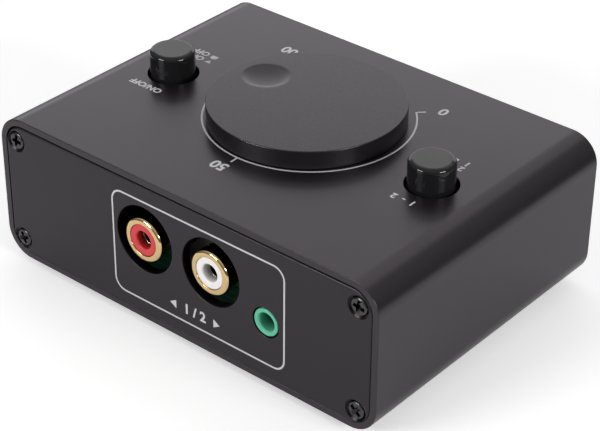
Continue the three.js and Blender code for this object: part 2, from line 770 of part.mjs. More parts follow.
// The finger dimple: a shallow ball-shaped lens that stands over the knob's top
function dimple() {
  const half = dimpleDiameter / 2;
  const ball = (half * half + dimpleDepth * dimpleDepth) / (2 * dimpleDepth);
  const profile = [[0, -dimpleDepth]];
  const steps = smallFacets.fillet;
  for (let k = 1; k <= steps; k += 1) {
    const r = half * k / steps;
    profile.push([r, ball - dimpleDepth - Math.sqrt(ball * ball - r * r)]);
  }
  profile.push([half, cutOverrun], [0, cutOverrun]);
  const lens = new THREE.LatheGeometry(profile.map(([r, z]) => new THREE.Vector2(r, z)), facets.dimple);
  const x = dimpleFromCentre * Math.cos(dimpleAngle);
  const y = dimpleFromCentre * Math.sin(dimpleAngle);
  return solid(lens.rotateX(Math.PI / 2).translate(x, y, knobTop));
}

// Place of a button's cap along X, a little off its hole as the real caps are
function capX(side) {
  return side * buttonX + (side < 0 ? leftCapOffset : rightCapOffset);
}

// Levels of the button parts over the board
const capTop = sleeveTop - boardTop + capRiseHeight;
const switchTop = seatGap + switchHeight;
const capBottom = switchTop + springSpaceHeight;
const capSocketDepth = capTop - capBottom - capCrownThickness;

// Push-button cap: gloss black, rounded at the top edge, with a square socket for the stem
function buttonCap(name) {
  const radius = capDiameter / 2;
  const profile = [
    [0, capBottom],
    [radius - capSkirtChamfer, capBottom],
    [radius, capBottom + capSkirtChamfer],
  ];
  const steps = smallFacets.fillet;
  for (let k = 0; k <= steps; k += 1) {
    const angle = k / steps * Math.PI / 2;
    const [inset, drop] = [1 - Math.cos(angle), 1 - Math.sin(angle)];
    profile.push([radius - capEdgeRadius * inset, capTop - capEdgeRadius * drop]);
  }
  profile.push([0, capTop]);
  const socket = stemWidth + 2 * capSocketGap;
  const hollow = standing(socket, socket, capSocketDepth + cutOverrun, 0, 0, capBottom - cutOverrun);
  return piece(name, 'glossBlack', turnedZ(profile, smallFacets.cap).subtract(hollow));
}

// Plunger: a square stem that carries the cap, with a wider foot in the switch
function plunger(name) {
  const footBottom = seatGap + switchFloor + seatGap + pressTravel;
  const top = capBottom + capSocketDepth - stemTopGap;
  const foot = standing(stemFootWidth, stemFootWidth, stemFootHeight, 0, 0, footBottom);
  const stem = standing(stemWidth, stemWidth, top - footBottom, 0, 0, footBottom);
  return piece(name, 'nylon', foot.add(stem));
}

// The six pins of a push switch, in two rows
function switchPins() {
  const places = [];
  for (const row of [-switchPinRowSpacing / 2, switchPinRowSpacing / 2]) {
    for (const x of [-switchPinPitch, 0, switchPinPitch]) places.push([x, row]);
  }
  return places;
}

// Push switch case: a square moulding with a well for the plunger and a collar that keeps its foot in
function switchCase(name) {
  const outline = chamferedRectangle(switchWidth, switchWidth, switchCornerChamfer);
  const block3 = drawnZ(outline, seatGap, switchTop);
  const well = stemFootWidth + 2 * switchWellGap;
  const neck = stemWidth + 2 * switchWellGap;
  const footTop = seatGap + switchFloor + seatGap + pressTravel + stemFootHeight;
  const wellTop = footTop + seatGap;
  const tools = [
    standing(well, well, wellTop - seatGap - switchFloor, 0, 0, seatGap + switchFloor),
    standing(neck, neck, switchTop + cutOverrun - wellTop + seatGap, 0, 0, wellTop - seatGap),
  ];
  const pinRoot = seatGap + switchFloor / 2;
  const pins = switchPins().map(([x, y]) => pin(switchPinWidth, switchPinThickness, x, y, pinRoot));
  return piece(name, 'blackMoulding', cut(block3, tools).add(joined(pins)));
}

// A coil about Z from one height to another
class Coil extends THREE.Curve {
  constructor(radius, bottom, top, turns) {
    super();
    Object.assign(this, { radius, bottom, top, turns });
  }

  getPoint(share, target = new THREE.Vector3()) {
    const angle = 2 * Math.PI * this.turns * share;
    const height = this.bottom + (this.top - this.bottom) * share;
    return target.set(this.radius * Math.cos(angle), this.radius * Math.sin(angle), height);
  }
}

// Return spring: one unbroken coil round the stem, between the case and the cap
function returnSpring(name) {
  const wire = springWireDiameter / 2;
  const path = new Coil(
    (springDiameter - springWireDiameter) / 2,
    switchTop + springEndGap + wire,
    capBottom - springEndGap - wire,
    springTurnCount,
  );
  const section = new THREE.Shape();
  for (let k = 0; k < smallFacets.wire; k += 1) {
    const angle = 2 * Math.PI * k / smallFacets.wire;
    const [x, y] = [wire * Math.cos(angle), wire * Math.sin(angle)];
    if (k === 0) section.moveTo(x, y);
    else section.lineTo(x, y);
  }
  section.closePath();
  const coil = new THREE.ExtrudeGeometry(section, {
    steps: smallFacets.curl * springTurnCount, extrudePath: path, bevelEnabled: false,
  });
  return piece(name, 'springSteel', solid(coil));
}

// Least gap of the coil to itself, from points one curl apart, less the wire
function springGap() {
  const rise = capBottom - switchTop - 2 * springEndGap - springWireDiameter;
  return rise / springTurnCount - springWireDiameter;
}

// One push button with its switch, on the board
function pushButton(name, side) {
  const button = at(new THREE.Group(), capX(side), buttonY, boardTop);
  button.add(buttonCap(`${name}_button_cap`));
  button.add(plunger(`${name}_plunger`));
  button.add(returnSpring(`${name}_spring`));
  button.add(switchCase(`${name}_switch_case`));
  return button;
}

// Potentiometer, on the board under the knob
function potentiometer() {
  const pot = at(new THREE.Group(), knobX, knobY, boardTop);
  pot.add(potCase(), potCover(), potShaft(), potWiper());
  return pot;
}

// Rubber foot under a corner of the base
function foot(name, x, y) {
  const radius = footDiameter / 2;
  const top = footHeight - footGlueGap;
  const profile = [[0, 0], [radius - footEdge, 0], [radius, footEdge], [radius, top], [0, top]];
  return at(piece(name, 'rubber', turnedZ(profile, smallFacets.foot)), x, y, 0);
}

// The four feet
function feet() {
  const group = new THREE.Group();
  const [x, y] = [bodyWidth / 2 - footInset, bodyDepth / 2 - footInset];
  const places = [[-x, -y], [x, -y], [-x, y], [x, y]];
  places.forEach(([u, v], k) => group.add(foot(`rubber_foot_${k + 1}`, u, v)));
  return group;
}

// The whole selector
function selector() {
  const whole = new THREE.Group();
  whole.name = 'audio_source_selector';
  const outputEnd = at(panelEnd('output', outputGroups), 0, -faceY, 0);
  const sourceEnd = at(panelEnd('source', sourceGroups), 0, faceY, 0);
  sourceEnd.rotation.z = Math.PI;
  whole.add(sleeve(), outputEnd, sourceEnd, mainBoard());
  whole.add(potentiometer(), volumeKnob());
  whole.add(pushButton('mute', -1), pushButton('select', 1));
  whole.add(feet());
  return whole;
}

console.log(`least gap of each return spring to itself: ${springGap().toFixed(2)} mm`);

export default selector();
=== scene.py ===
"""Detailed look of a desk-top audio source selector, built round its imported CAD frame."""

import math

import bmesh
import bpy
from mathutils import Matrix, Vector, geometry


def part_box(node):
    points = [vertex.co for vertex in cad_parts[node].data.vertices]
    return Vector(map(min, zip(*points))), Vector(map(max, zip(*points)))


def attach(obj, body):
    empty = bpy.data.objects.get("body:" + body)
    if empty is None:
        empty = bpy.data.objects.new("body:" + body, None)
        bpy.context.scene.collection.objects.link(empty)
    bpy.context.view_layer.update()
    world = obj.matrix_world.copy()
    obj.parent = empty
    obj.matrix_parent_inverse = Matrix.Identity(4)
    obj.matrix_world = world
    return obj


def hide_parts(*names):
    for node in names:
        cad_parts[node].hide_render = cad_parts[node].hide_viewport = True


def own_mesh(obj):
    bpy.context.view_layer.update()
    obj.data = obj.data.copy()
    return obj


bl_info = {
    "name": "Audio Source Selector",
    "version": (1, 0, 0),
    "blender": (4, 5, 0),
    "location": "View3D > Sidebar > Selector",
    "description": "Builds the pieces, finishes and studio of a desk-top audio source selector",
    "category": "Object",
}

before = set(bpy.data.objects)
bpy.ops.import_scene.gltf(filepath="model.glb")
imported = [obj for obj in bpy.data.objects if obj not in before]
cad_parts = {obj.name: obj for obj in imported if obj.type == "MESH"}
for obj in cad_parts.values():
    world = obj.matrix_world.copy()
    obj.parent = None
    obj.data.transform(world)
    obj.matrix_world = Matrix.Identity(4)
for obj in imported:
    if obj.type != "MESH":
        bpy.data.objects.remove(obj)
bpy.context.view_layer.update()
MM = 0.001
TURN = 2 * math.pi
CLOSE = 1e-6  # below this a length in millimetres counts as nothing


# Reading the frame, in millimetres


def low(node):
    """Lowest corner of a CAD node in millimetres."""
    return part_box(node)[0] / MM


def high(node):
    """Highest corner of a CAD node in millimetres."""
    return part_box(node)[1] / MM


def middle(node):
    """Middle of a CAD node's box in millimetres."""
    return (low(node) + high(node)) / 2


SIDES = ("output", "source")
SOCKETS = ("output", "source_a", "source_b")
BUTTONS = ("mute", "select")
CORNERS = (1, 2, 3, 4)  # numbers of the screws on a panel, and of the feet
SLEEVE_TOP = high("housing_sleeve").z
FACE_Y = -low("output_panel").y
PHONO = "output_phono_left_"  # the socket that the form of all six is taken from
JACK_AXIS = 4.7  # of a 3.5 mm socket over the foot of its body, in millimetres
DIMPLE_ANGLE = math.radians(169.8)  # of the finger dimple at rest, from +X
FINISHES = {}  # materials by name, made once


def length(label, text, millimetres):
    """A length property with its default in millimetres."""
    return bpy.props.FloatProperty(
        name=label, description=text, default=millimetres * MM,
        min=0, precision=5, subtype="DISTANCE", unit="LENGTH",
    )


def colour(label, text, rgb):
    """A colour property."""
    return bpy.props.FloatVectorProperty(
        name=label, description=text, default=rgb, size=3, min=0, max=1, subtype="COLOR",
    )


def factor(label, text, value):
    """A property between nothing and one."""
    return bpy.props.FloatProperty(
        name=label, description=text, default=value, min=0, max=1, subtype="FACTOR",
    )


def strength(label, text, value):
    """A light level."""
    return bpy.props.FloatProperty(name=label, description=text, default=value, min=0)


class SelectorSizes(bpy.types.PropertyGroup):
    """Sizes of the selector's own forms that the frame's boxes don't give."""

    corner: length("Corner radius", "Radius of the sleeve's long corners", 5.65)
    wall: length("Wall", "Thickness of the sleeve's wall", 1.35)
    rim_edge: length("Rim edge", "Rounding of the sleeve's end rims", 0.14)
    channel: length("Channel", "Outer diameter of a screw channel", 4.1)
    channel_bore: length("Channel bore", "Bore of a screw channel", 2.3)
    channel_slot: length("Channel slot", "Width of the slot in a screw channel", 0.9)
    hole_edge: length("Hole edge", "Rounding of the holes in the sleeve and panels", 0.14)
    panel_edge: length("Panel edge", "Rounding of an end panel's outer edge", 0.3)
    panel_rest: length("Panel rest", "How far a panel lies right and down in its pocket", 0.12)
    hub_hole: length("Hub hole", "Diameter of the hole under the knob", 14)
    button_hole: length("Button hole", "Diameter of the clearance holes of the buttons", 9.95)
    socket_hole: length("Socket hole", "Diameter of the panel holes round the phono sockets", 13.5)
    jack_hole: length("Jack hole", "Diameter of the panel holes round the 3.5 mm sockets", 6.0)
    shell: length("Shell", "Outer diameter of a phono shell", 8.8)
    shell_bore: length("Shell bore", "Bore of a phono shell", 6.35)
    shell_proud: length("Shell stand-out", "How far a phono shell stands out of its panel", 0.4)
    shell_rim: length("Shell rim", "Rounding of a phono shell's rim towards its outside", 0.6)
    screw_head: length("Screw head", "Diameter of a panel screw's head", 3.5)
    knob_gap: length("Knob gap", "Air under the knob", 0.12)
    knob_edge: length("Knob edge", "Rounding of the knob's top edge", 0.2)
    dimple: length("Dimple", "Diameter of the finger dimple in the knob", 9.3)
    dimple_out: length("Dimple place", "Distance of the dimple from the knob's middle", 12)
    dimple_depth: length("Dimple depth", "Depth of the finger dimple", 0.56)
    cap_edge: length("Cap edge", "Rounding of a button cap's top edge", 0.9)
    ink: length("Ink", "Height of the printed marks", 0.02)
    dial: length("Dial", "Radius of the printed dial line", 19.93)
    dial_back: length("Dial place", "How far behind the middle the dial's centre lies", 4.15)
    line: length("Line", "Width of the printed lines", 0.35)


class SelectorFinishes(bpy.types.PropertyGroup):
    """Colours and gloss of the selector's finishes."""

    sleeve: colour("Sleeve", "Charcoal anodised sleeve", (0.061, 0.0535, 0.0615))
    panel: colour("Panel", "Charcoal anodised end panels", (0.0445, 0.039, 0.0445))
    knob: colour("Knob", "Charcoal anodised knob", (0.051, 0.045, 0.0515))
    satin: factor("Satin", "Roughness of the anodised metal", 0.30)
    cap: colour("Cap", "Gloss black button caps", (0.010, 0.010, 0.011))
    gold: colour("Gold", "Gold plating of the phono sockets", (0.80, 0.58, 0.29))
    red: colour("Red", "Red insulators", (0.62, 0.034, 0.042))
    white: colour("White", "White insulators", (0.86, 0.85, 0.83))
    green: colour("Green", "Light green 3.5 mm sockets", (0.11, 0.50, 0.32))
    board: colour("Board", "Green solder mask", (0.04, 0.24, 0.16))
    ink: colour("Ink", "White printed marks", (0.60, 0.60, 0.60))
    screw: colour("Screw", "Blackened screws", (0.088, 0.085, 0.087))


class SelectorStudio(bpy.types.PropertyGroup):
    """Levels of the studio's lights and floor."""

    back: strength("Back light", "Radiance of the large light behind the selector", 1.22)
    top: strength("Top light", "Radiance of the large light above the first", 0.55)
    side: strength("Side light", "Radiance of the two small lights beside the camera", 21)
    sky: strength("Sky", "Level of the plain surroundings", 0.35)
    room: strength("Room", "Level of the room in gloss at the horizon, past the ground", 0.12)
    rise: strength("Rise", "How much brighter the room is in gloss straight above", 0.45)
    ground: length("Ground", "Radius of the ground that is white in gloss", 155)
    floor: colour("Floor", "Plain pale floor", (0.86, 0.86, 0.86))
    glow: strength("Floor glow", "What the camera sees of the floor on top of its colour", 0.38)


def sizes():
    """The sizes, read in millimetres."""
    group = bpy.context.scene.selector_sizes
    return {name: getattr(group, name) / MM for name in group.__annotations__}


# Rings, skins and flat faces


def arc(centre, radius, start, end, steps):
    """Points of an arc, both ends included."""
    turn = [start + (end - start) * k / steps for k in range(steps + 1)]
    return [(centre[0] + radius * math.cos(a), centre[1] + radius * math.sin(a)) for a in turn]


def rounded(corners, steps, closed=False):
    """A line through corners (x, y, fillet), with each fillet drawn as an arc."""
    line = []
    count = len(corners)
    for k, corner in enumerate(corners):
        radius = corner[2] if len(corner) > 2 else 0
        point = Vector(corner[:2])
        if not radius or (not closed and k in (0, count - 1)):
            line.append(tuple(point))
            continue
        back = (Vector(corners[k - 1][:2]) - point).normalized()
        ahead = (Vector(corners[(k + 1) % count][:2]) - point).normalized()
        half = back.angle(ahead) / 2
        centre = point + (back + ahead).normalized() * radius / math.sin(half)
        first = point + back * radius / math.tan(half) - centre
        last = point + ahead * radius / math.tan(half) - centre
        sweep = first.angle_signed(last)
        for step in range(steps + 1):
            swung = Matrix.Rotation(-sweep * step / steps, 2) @ first
            line.append(tuple(centre + swung))
    return line


def quarter(edge):
    """Pairs of inset and depth down a rounded edge, from the face to the wall."""
    steps = 4
    angles = [math.pi / 2 * k / steps for k in range(steps + 1)]
    return [(edge * (1 - math.sin(a)), edge * (1 - math.cos(a))) for a in angles]


def circle(radius, height, sides, x=0.0, y=0.0):
    """A ring about Z."""
    angles = [TURN * k / sides for k in range(sides)]
    return [(x + radius * math.cos(a), y + radius * math.sin(a), height) for a in angles]


def facing_circle(radius, depth, sides, x=0.0, z=0.0):
    """A ring about Y at a depth behind a panel's face."""
    angles = [TURN * k / sides for k in range(sides)]
    return [(x + radius * math.cos(a), depth, z + radius * math.sin(a)) for a in angles]


def box_section(width, height, radius, depth, inset=0.0):
    """A rounded rectangle in X and Z at a depth, drawn in by an inset."""
    steps = 16
    x, z, drawn_in = width / 2 - radius, height / 2 - radius, radius - inset
    points = []
    for k, corner in enumerate(((x, z), (-x, z), (-x, -z), (x, -z))):
        quadrant = arc(corner, drawn_in, k * math.pi / 2, (k + 1) * math.pi / 2, steps)
        points += [(p, depth, q) for p, q in quadrant]
    return points


def add_ring(mesh, points):
    """Adds the corners of one closed ring."""
    return [mesh.verts.new(point) for point in points]


def bridge(mesh, rings):
    """Joins rings of the same count with a skin."""
    for first, second in zip(rings, rings[1:]):
        for k in range(len(first)):
            n = (k + 1) % len(first)
            mesh.faces.new((first[k], first[n], second[n], second[k]))


def flat(mesh, *rings):
    """Closes the flat region between an outer ring and the rings inside it, square to Y or to Z."""
    corners = [vertex for ring in rings for vertex in ring]
    depths = [vertex.co.y for vertex in corners]
    upright = max(depths) - min(depths) < CLOSE
    points = [Vector((v.co.x, v.co.z if upright else v.co.y)) for v in corners]
    ends = [sum(len(ring) for ring in rings[:k + 1]) for k in range(len(rings))]
    loops = [list(range(end - len(ring), end)) for ring, end in zip(rings, ends)]
    inside_with_holes = 2
    found = geometry.delaunay_2d_cdt(points, [], loops, inside_with_holes, CLOSE)
    triangles, origins = found[2], found[3]
    for triangle in triangles:
        mesh.faces.new([corners[origins[k][0]] for k in triangle])


def lid(mesh, ring):
    """Closes one ring with a single face."""
    mesh.faces.new(ring)


def turned(profile, sides, about="Z", closed=False):
    """A turned form from pairs of radius and height; a radius of nothing is a pole."""
    mesh = bmesh.new()
    draw = circle if about == "Z" else facing_circle
    rings = []
    for radius, height in profile:
        if radius < CLOSE:
            tip = (0, 0, height) if about == "Z" else (0, height, 0)
            rings.append([mesh.verts.new(tip)])
        else:
            rings.append(add_ring(mesh, draw(radius, height, sides)))
    if closed:
        rings.append(rings[0])
    for first, second in zip(rings, rings[1:]):
        for k in range(sides):
            n = (k + 1) % sides
            if len(first) == 1:
                mesh.faces.new((first[0], second[n], second[k]))
            elif len(second) == 1:
                mesh.faces.new((first[k], first[n], second[0]))
            else:
                mesh.faces.new((first[k], first[n], second[n], second[k]))
    return mesh


def bar(mesh, least, most):
    """Adds a plain tab between two corners, for what is hidden inside the box."""
    for vertex in bmesh.ops.create_cube(mesh, size=1)["verts"]:
        vertex.co = [a + (b - a) * (c + 0.5) for a, b, c in zip(least, most, vertex.co)]


# Objects


def linked(name, data):
    """A new object in the scene."""
    thing = bpy.data.objects.new(name, data)
    bpy.context.scene.collection.objects.link(thing)
    return thing


def from_millimetres(name, mesh, material, place=None, crease=32.0):
    """Turns a mesh in millimetres into an object, with smooth faces and creased edges."""
    bmesh.ops.remove_doubles(mesh, verts=mesh.verts, dist=100 * CLOSE)
    bmesh.ops.recalc_face_normals(mesh, faces=mesh.faces)
    if place is not None:
        mesh.transform(place)
    mesh.transform(Matrix.Scale(MM, 4))
    data = bpy.data.meshes.new(name)
    mesh.to_mesh(data)
    mesh.free()
    data.polygons.foreach_set("use_smooth", [True] * len(data.polygons))
    data.set_sharp_from_angle(angle=math.radians(crease))
    data.materials.append(material)
    return linked(name, data)


def weighted(thing):
    """Keeps flat faces flat beside their rounded edges."""
    modifier = thing.modifiers.new("Flat faces lead", "WEIGHTED_NORMAL")
    modifier.keep_sharp = True
    modifier.weight = 100
    return thing


def settle(thing):
    """Gives an object with modifiers a plain mesh of its own instead."""
    graph = bpy.context.evaluated_depsgraph_get()
    data = bpy.data.meshes.new_from_object(thing.evaluated_get(graph), depsgraph=graph)
    old = thing.data
    thing.modifiers.clear()
    thing.data = data
    data.name = thing.name
    if old.users == 0:
        bpy.data.meshes.remove(old)


def cut_by(thing, cutter, **settings):
    """Takes one form out of another, which keeps a plain mesh."""
    modifier = thing.modifiers.new("Cut", "BOOLEAN")
    modifier.operation = "DIFFERENCE"
    modifier.solver = "EXACT"
    modifier.object = cutter
    for name, value in settings.items():
        setattr(modifier, name, value)
    settle(thing)
    bpy.data.objects.remove(cutter)


def fit(thing, body, nodes=()):
    """Puts a finished piece on its body and the CAD nodes that it stands for."""
    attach(thing, body)
    if nodes:
        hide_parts(*nodes)


# Node trees that repeat a part and that wind a coil


def new_tree(name, inputs, output):
    """A geometry tree with named inputs and one output: the tree and its two end nodes."""
    tree = bpy.data.node_groups.new(name, "GeometryNodeTree")
    tree.is_modifier = True
    for label, kind, *default in inputs:
        socket = tree.interface.new_socket(
            label, in_out="INPUT", socket_type=f"NodeSocket{kind}")
        if default:
            socket.default_value = default[0]
    tree.interface.new_socket(output, in_out="OUTPUT", socket_type="NodeSocketGeometry")
    return tree, tree.nodes.new("NodeGroupInput"), tree.nodes.new("NodeGroupOutput")


def finish_tree(tree, given, shape, result):
    """Ends a tree: makes the instances real and gives them the finish."""
    real = tree.nodes.new("GeometryNodeRealizeInstances")
    finish = tree.nodes.new("GeometryNodeSetMaterial")
    tree.links.new(shape, real.inputs["Geometry"])
    tree.links.new(real.outputs["Geometry"], finish.inputs["Geometry"])
    tree.links.new(given.outputs["Finish"], finish.inputs["Material"])
    tree.links.new(finish.outputs["Geometry"], result.inputs[0])


def set_input(modifier, label, value):
    """Sets a modifier's input by its socket's identifier."""
    for item in modifier.node_group.interface.items_tree:
        if item.name == label and item.in_out == "INPUT":
            modifier[item.identifier] = value
            return
    raise KeyError(label)


def socket_of(sockets, label):
    """The enabled socket of that name."""
    return next(s for s in sockets if s.enabled and s.name == label)


def repeat_tree(name):
    """Puts a part on every place, faced as the place says and turned about its own axis."""
    tree, given, result = new_tree(name, (
        ("Places", "Geometry"), ("Part", "Object"), ("Largest turn", "Float", 0.0),
        ("Seed", "Int", 1), ("Finish", "Material"),
    ), "Parts")
    nodes, link = tree.nodes, tree.links.new
    part = nodes.new("GeometryNodeObjectInfo")
    facing = nodes.new("GeometryNodeInputNamedAttribute")
    facing.data_type = "FLOAT"
    facing.inputs["Name"].default_value = "facing"
    chance = nodes.new("FunctionNodeRandomValue")
    chance.data_type = "FLOAT"
    spin = nodes.new("ShaderNodeCombineXYZ")
    place = nodes.new("GeometryNodeInstanceOnPoints")
    link(given.outputs["Part"], part.inputs["Object"])
    link(given.outputs["Largest turn"], socket_of(chance.inputs, "Max"))
    link(given.outputs["Seed"], socket_of(chance.inputs, "Seed"))
    link(socket_of(chance.outputs, "Value"), spin.inputs["Y"])
    link(socket_of(facing.outputs, "Attribute"), spin.inputs["Z"])
    link(given.outputs["Places"], place.inputs["Points"])
    link(part.outputs["Geometry"], place.inputs["Instance"])
    link(spin.outputs["Vector"], place.inputs["Rotation"])
    finish_tree(tree, given, place.outputs["Instances"], result)
    return tree


def coil_tree(name):
    """Winds a round wire into an open coil."""
    tree, given, result = new_tree(name, (
        ("Geometry", "Geometry"), ("Turns", "Float", 6.0), ("Radius", "Float", 0.003),
        ("Rise", "Float", 0.005), ("Wire radius", "Float", 0.0002), ("Finish", "Material"),
    ), "Coil")
    nodes, link = tree.nodes, tree.links.new
    path = nodes.new("GeometryNodeCurveSpiral")
    path.inputs["Resolution"].default_value = 40
    section = nodes.new("GeometryNodeCurvePrimitiveCircle")
    section.inputs["Resolution"].default_value = 12
    wire = nodes.new("GeometryNodeCurveToMesh")
    wire.inputs["Fill Caps"].default_value = True
    for start, end in (("Turns", "Rotations"), ("Radius", "Start Radius"),
                       ("Radius", "End Radius"), ("Rise", "Height")):
        link(given.outputs[start], path.inputs[end])
    link(given.outputs["Wire radius"], section.inputs["Radius"])
    link(path.outputs["Curve"], wire.inputs["Curve"])
    link(section.outputs["Curve"], wire.inputs["Profile Curve"])
    finish_tree(tree, given, wire.outputs["Mesh"], result)
    return tree


def shape_by(thing, name, make, values):
    """Shapes an object by a node tree, made once, and leaves it a plain mesh."""
    modifier = thing.modifiers.new(name, "NODES")
    modifier.node_group = bpy.data.node_groups.get(name) or make(name)
    for label, value in values.items():
        set_input(modifier, label, value)
    settle(thing)


def repeated(name, part, places, material, largest_turn=0.0, seed=1):
    """One object with a copy of the part on each place (x, y, z, facing) in millimetres."""
    points = bpy.data.meshes.new(name)
    points.from_pydata([Vector(p[:3]) * MM for p in places], [], [])
    facing = points.attributes.new("facing", "FLOAT", "POINT")
    facing.data.foreach_set("value", [p[3] for p in places])
    thing = linked(name, points)
    shape_by(thing, "Repeat part on places", repeat_tree, {
        "Part": part, "Largest turn": largest_turn, "Seed": seed, "Finish": material,
    })
    if "facing" in thing.data.attributes:
        thing.data.attributes.remove(thing.data.attributes["facing"])
    bpy.data.objects.remove(part)
    return thing


# Shader nodes that every tree uses


def put(tree, value, socket):
    """Gives a socket a value of its own, or a link where the value is another node's output."""
    if isinstance(value, bpy.types.NodeSocket):
        tree.links.new(value, socket)
    else:
        socket.default_value = value


def joined(tree, operation, *values):
    """A sum, product or other result of numbers in a node tree."""
    node = tree.nodes.new("ShaderNodeMath")
    node.operation = operation
    for socket, value in zip(node.inputs, values):
        put(tree, value, socket)
    return node.outputs["Value"]


# Finishes


class Finish:
    """A procedural material on object coordinates, with its shader and pattern nodes."""

    def __init__(self, name, base, rough, metal=0.0):
        self.material = bpy.data.materials.new(name)
        self.material.use_nodes = True
        self.tree = self.material.node_tree
        self.tree.nodes.clear()
        output = self.node("ShaderNodeOutputMaterial")
        self.shader = self.node(
            "ShaderNodeBsdfPrincipled",
            {"Base Color": (*base, 1), "Roughness": rough, "Metallic": metal})
        self.link(self.shader.outputs["BSDF"], output.inputs["Surface"])
        self.coordinates = self.node("ShaderNodeTexCoord").outputs["Object"]
        self.base, self.rough = base, rough

    def node(self, kind, inputs=None):
        """A new node with the values or links of its inputs."""
        node = self.tree.nodes.new(kind)
        for label, value in (inputs or {}).items():
            put(self.tree, value, node.inputs[label])
        return node

    def link(self, start, end):
        """A new link."""
        self.tree.links.new(start, end)

    def along(self, axis):
        """The object coordinate along an axis."""
        return self.node("ShaderNodeSeparateXYZ", {"Vector": self.coordinates}).outputs[axis]

    def scaled(self, scale):
        """The object coordinates times a scale for each axis."""
        mapping = self.node("ShaderNodeMapping", {"Vector": self.coordinates, "Scale": scale})
        return mapping.outputs["Vector"]

    def grain(self, size, detail, stretch=(1, 1, 1)):
        """Noise with grains of a size in millimetres, drawn out by a stretch."""
        noise = self.node("ShaderNodeTexNoise", {
            "Vector": self.scaled([1 / (MM * size * s) for s in stretch]),
            "Scale": 1, "Detail": detail,
        })
        return noise.outputs["Fac"]

    def ramp(self, value, start, end, first, last):
        """Goes from a first to a last level as a value goes from a start to an end."""
        node = self.node("ShaderNodeMapRange", {
            "Value": value, "From Min": start, "From Max": end, "To Min": first, "To Max": last,
        })
        return node.outputs["Result"]

    def colour(self, kind, share, first, second):
        """Makes the base colour a blend of two others."""
        mix = self.node("ShaderNodeMix")
        mix.data_type, mix.blend_type = "RGBA", kind
        for label, value in (("Factor", share), ("A", first), ("B", second)):
            put(self.tree, value, socket_of(mix.inputs, label))
        self.link(socket_of(mix.outputs, "Result"), self.shader.inputs["Base Color"])
        return self

    def shade(self, value, darker, lighter):
        """Lets the base colour go from a darker to a lighter tone of itself."""
        first = (*[c * darker for c in self.base], 1)
        second = (*[min(c * lighter, 1) for c in self.base], 1)
        return self.colour("MIX", value, first, second)

    def painted_shade_inside(self, start, end, share):
        """Painted shade: lets the colour fade to a share of itself between two depths behind the
        panels' faces, darker deeper in holes and bores.
        """
        away = joined(self.tree, "ABSOLUTE", self.along("Y"))
        # Painted shade: the colour's share falls with depth behind the face.
        painted_shade_share = self.ramp(away, (FACE_Y - end) * MM, (FACE_Y - start) * MM, share, 1)
        plain = self.shader.inputs["Base Color"].links[0].from_socket
        return self.colour("MULTIPLY", 1, plain, painted_shade_share)

    def rougher_under(self, height, rough):
        """Gives what lies under a height in millimetres a roughness of its own."""
        half_step = 0.1
        split = self.ramp(
            self.along("Z"), (height - half_step) * MM, (height + half_step) * MM,
            rough - self.rough, 0)
        rough_in = self.shader.inputs["Roughness"]
        self.link(joined(self.tree, "ADD", rough_in.links[0].from_socket, split), rough_in)
        return self

    def wear(self, value, less, more):
        """Lets the roughness vary about its own value."""
        most_noise = (0.25, 0.75)
        varied = self.ramp(value, *most_noise, self.rough - less, self.rough + more)
        self.link(varied, self.shader.inputs["Roughness"])
        return self

    def bump(self, value, depth, share):
        """Raises the surface by a share of a value, to a depth in millimetres."""
        node = self.node(
            "ShaderNodeBump", {"Strength": share, "Distance": depth * MM, "Height": value})
        self.link(node.outputs["Normal"], self.shader.inputs["Normal"])
        return self


def anodised(name, base, rough):
    """Fine blasted and anodised aluminium."""
    made = Finish(name, base, rough, metal=0.87)
    made.shade(made.grain(6, 4), 0.97, 1.03)
    made.wear(made.grain(0.35, 2), 0.02, 0.02)
    return made.bump(made.grain(0.12, 2), 0.0012, 0.2)


def turned_metal(name, base, rough, pitch):
    """Plated metal with faint rings from the lathe, along Y."""
    made = Finish(name, base, rough, metal=1.0)
    made.shade(made.grain(1.5, 2), 0.96, 1.03)
    made.wear(made.grain(0.6, 2), 0.03, 0.05)
    return made.bump(made.grain(pitch, 1, (400, 1, 400)), 0.002, 0.3)


def moulded(name, base, rough, skin=0.25, depth=0.002):
    """Moulded plastic with a fine skin of a grain size and a depth."""
    made = Finish(name, base, rough)
    made.shade(made.grain(2.5, 3), 0.96, 1.04)
    made.wear(made.grain(0.9, 2), 0.03, 0.03)
    return made.bump(made.grain(skin, 2), depth, 0.4)


def board_finish(base):
    """Solder mask over tracks that show as slightly raised, lighter lines."""
    made = Finish("Solder mask", base, 0.28)
    tracks = made.node("ShaderNodeTexBrick", {
        "Vector": made.scaled([1 / MM] * 3), "Scale": 0.5, "Mortar Size": 0.09,
        "Mortar Smooth": 0.2, "Brick Width": 5.5, "Row Height": 0.8,
    })
    tracks.offset = 0.35
    made.shade(tracks.outputs["Fac"], 1.0, 1.7)
    return made.bump(tracks.outputs["Fac"], 0.03, 0.6)


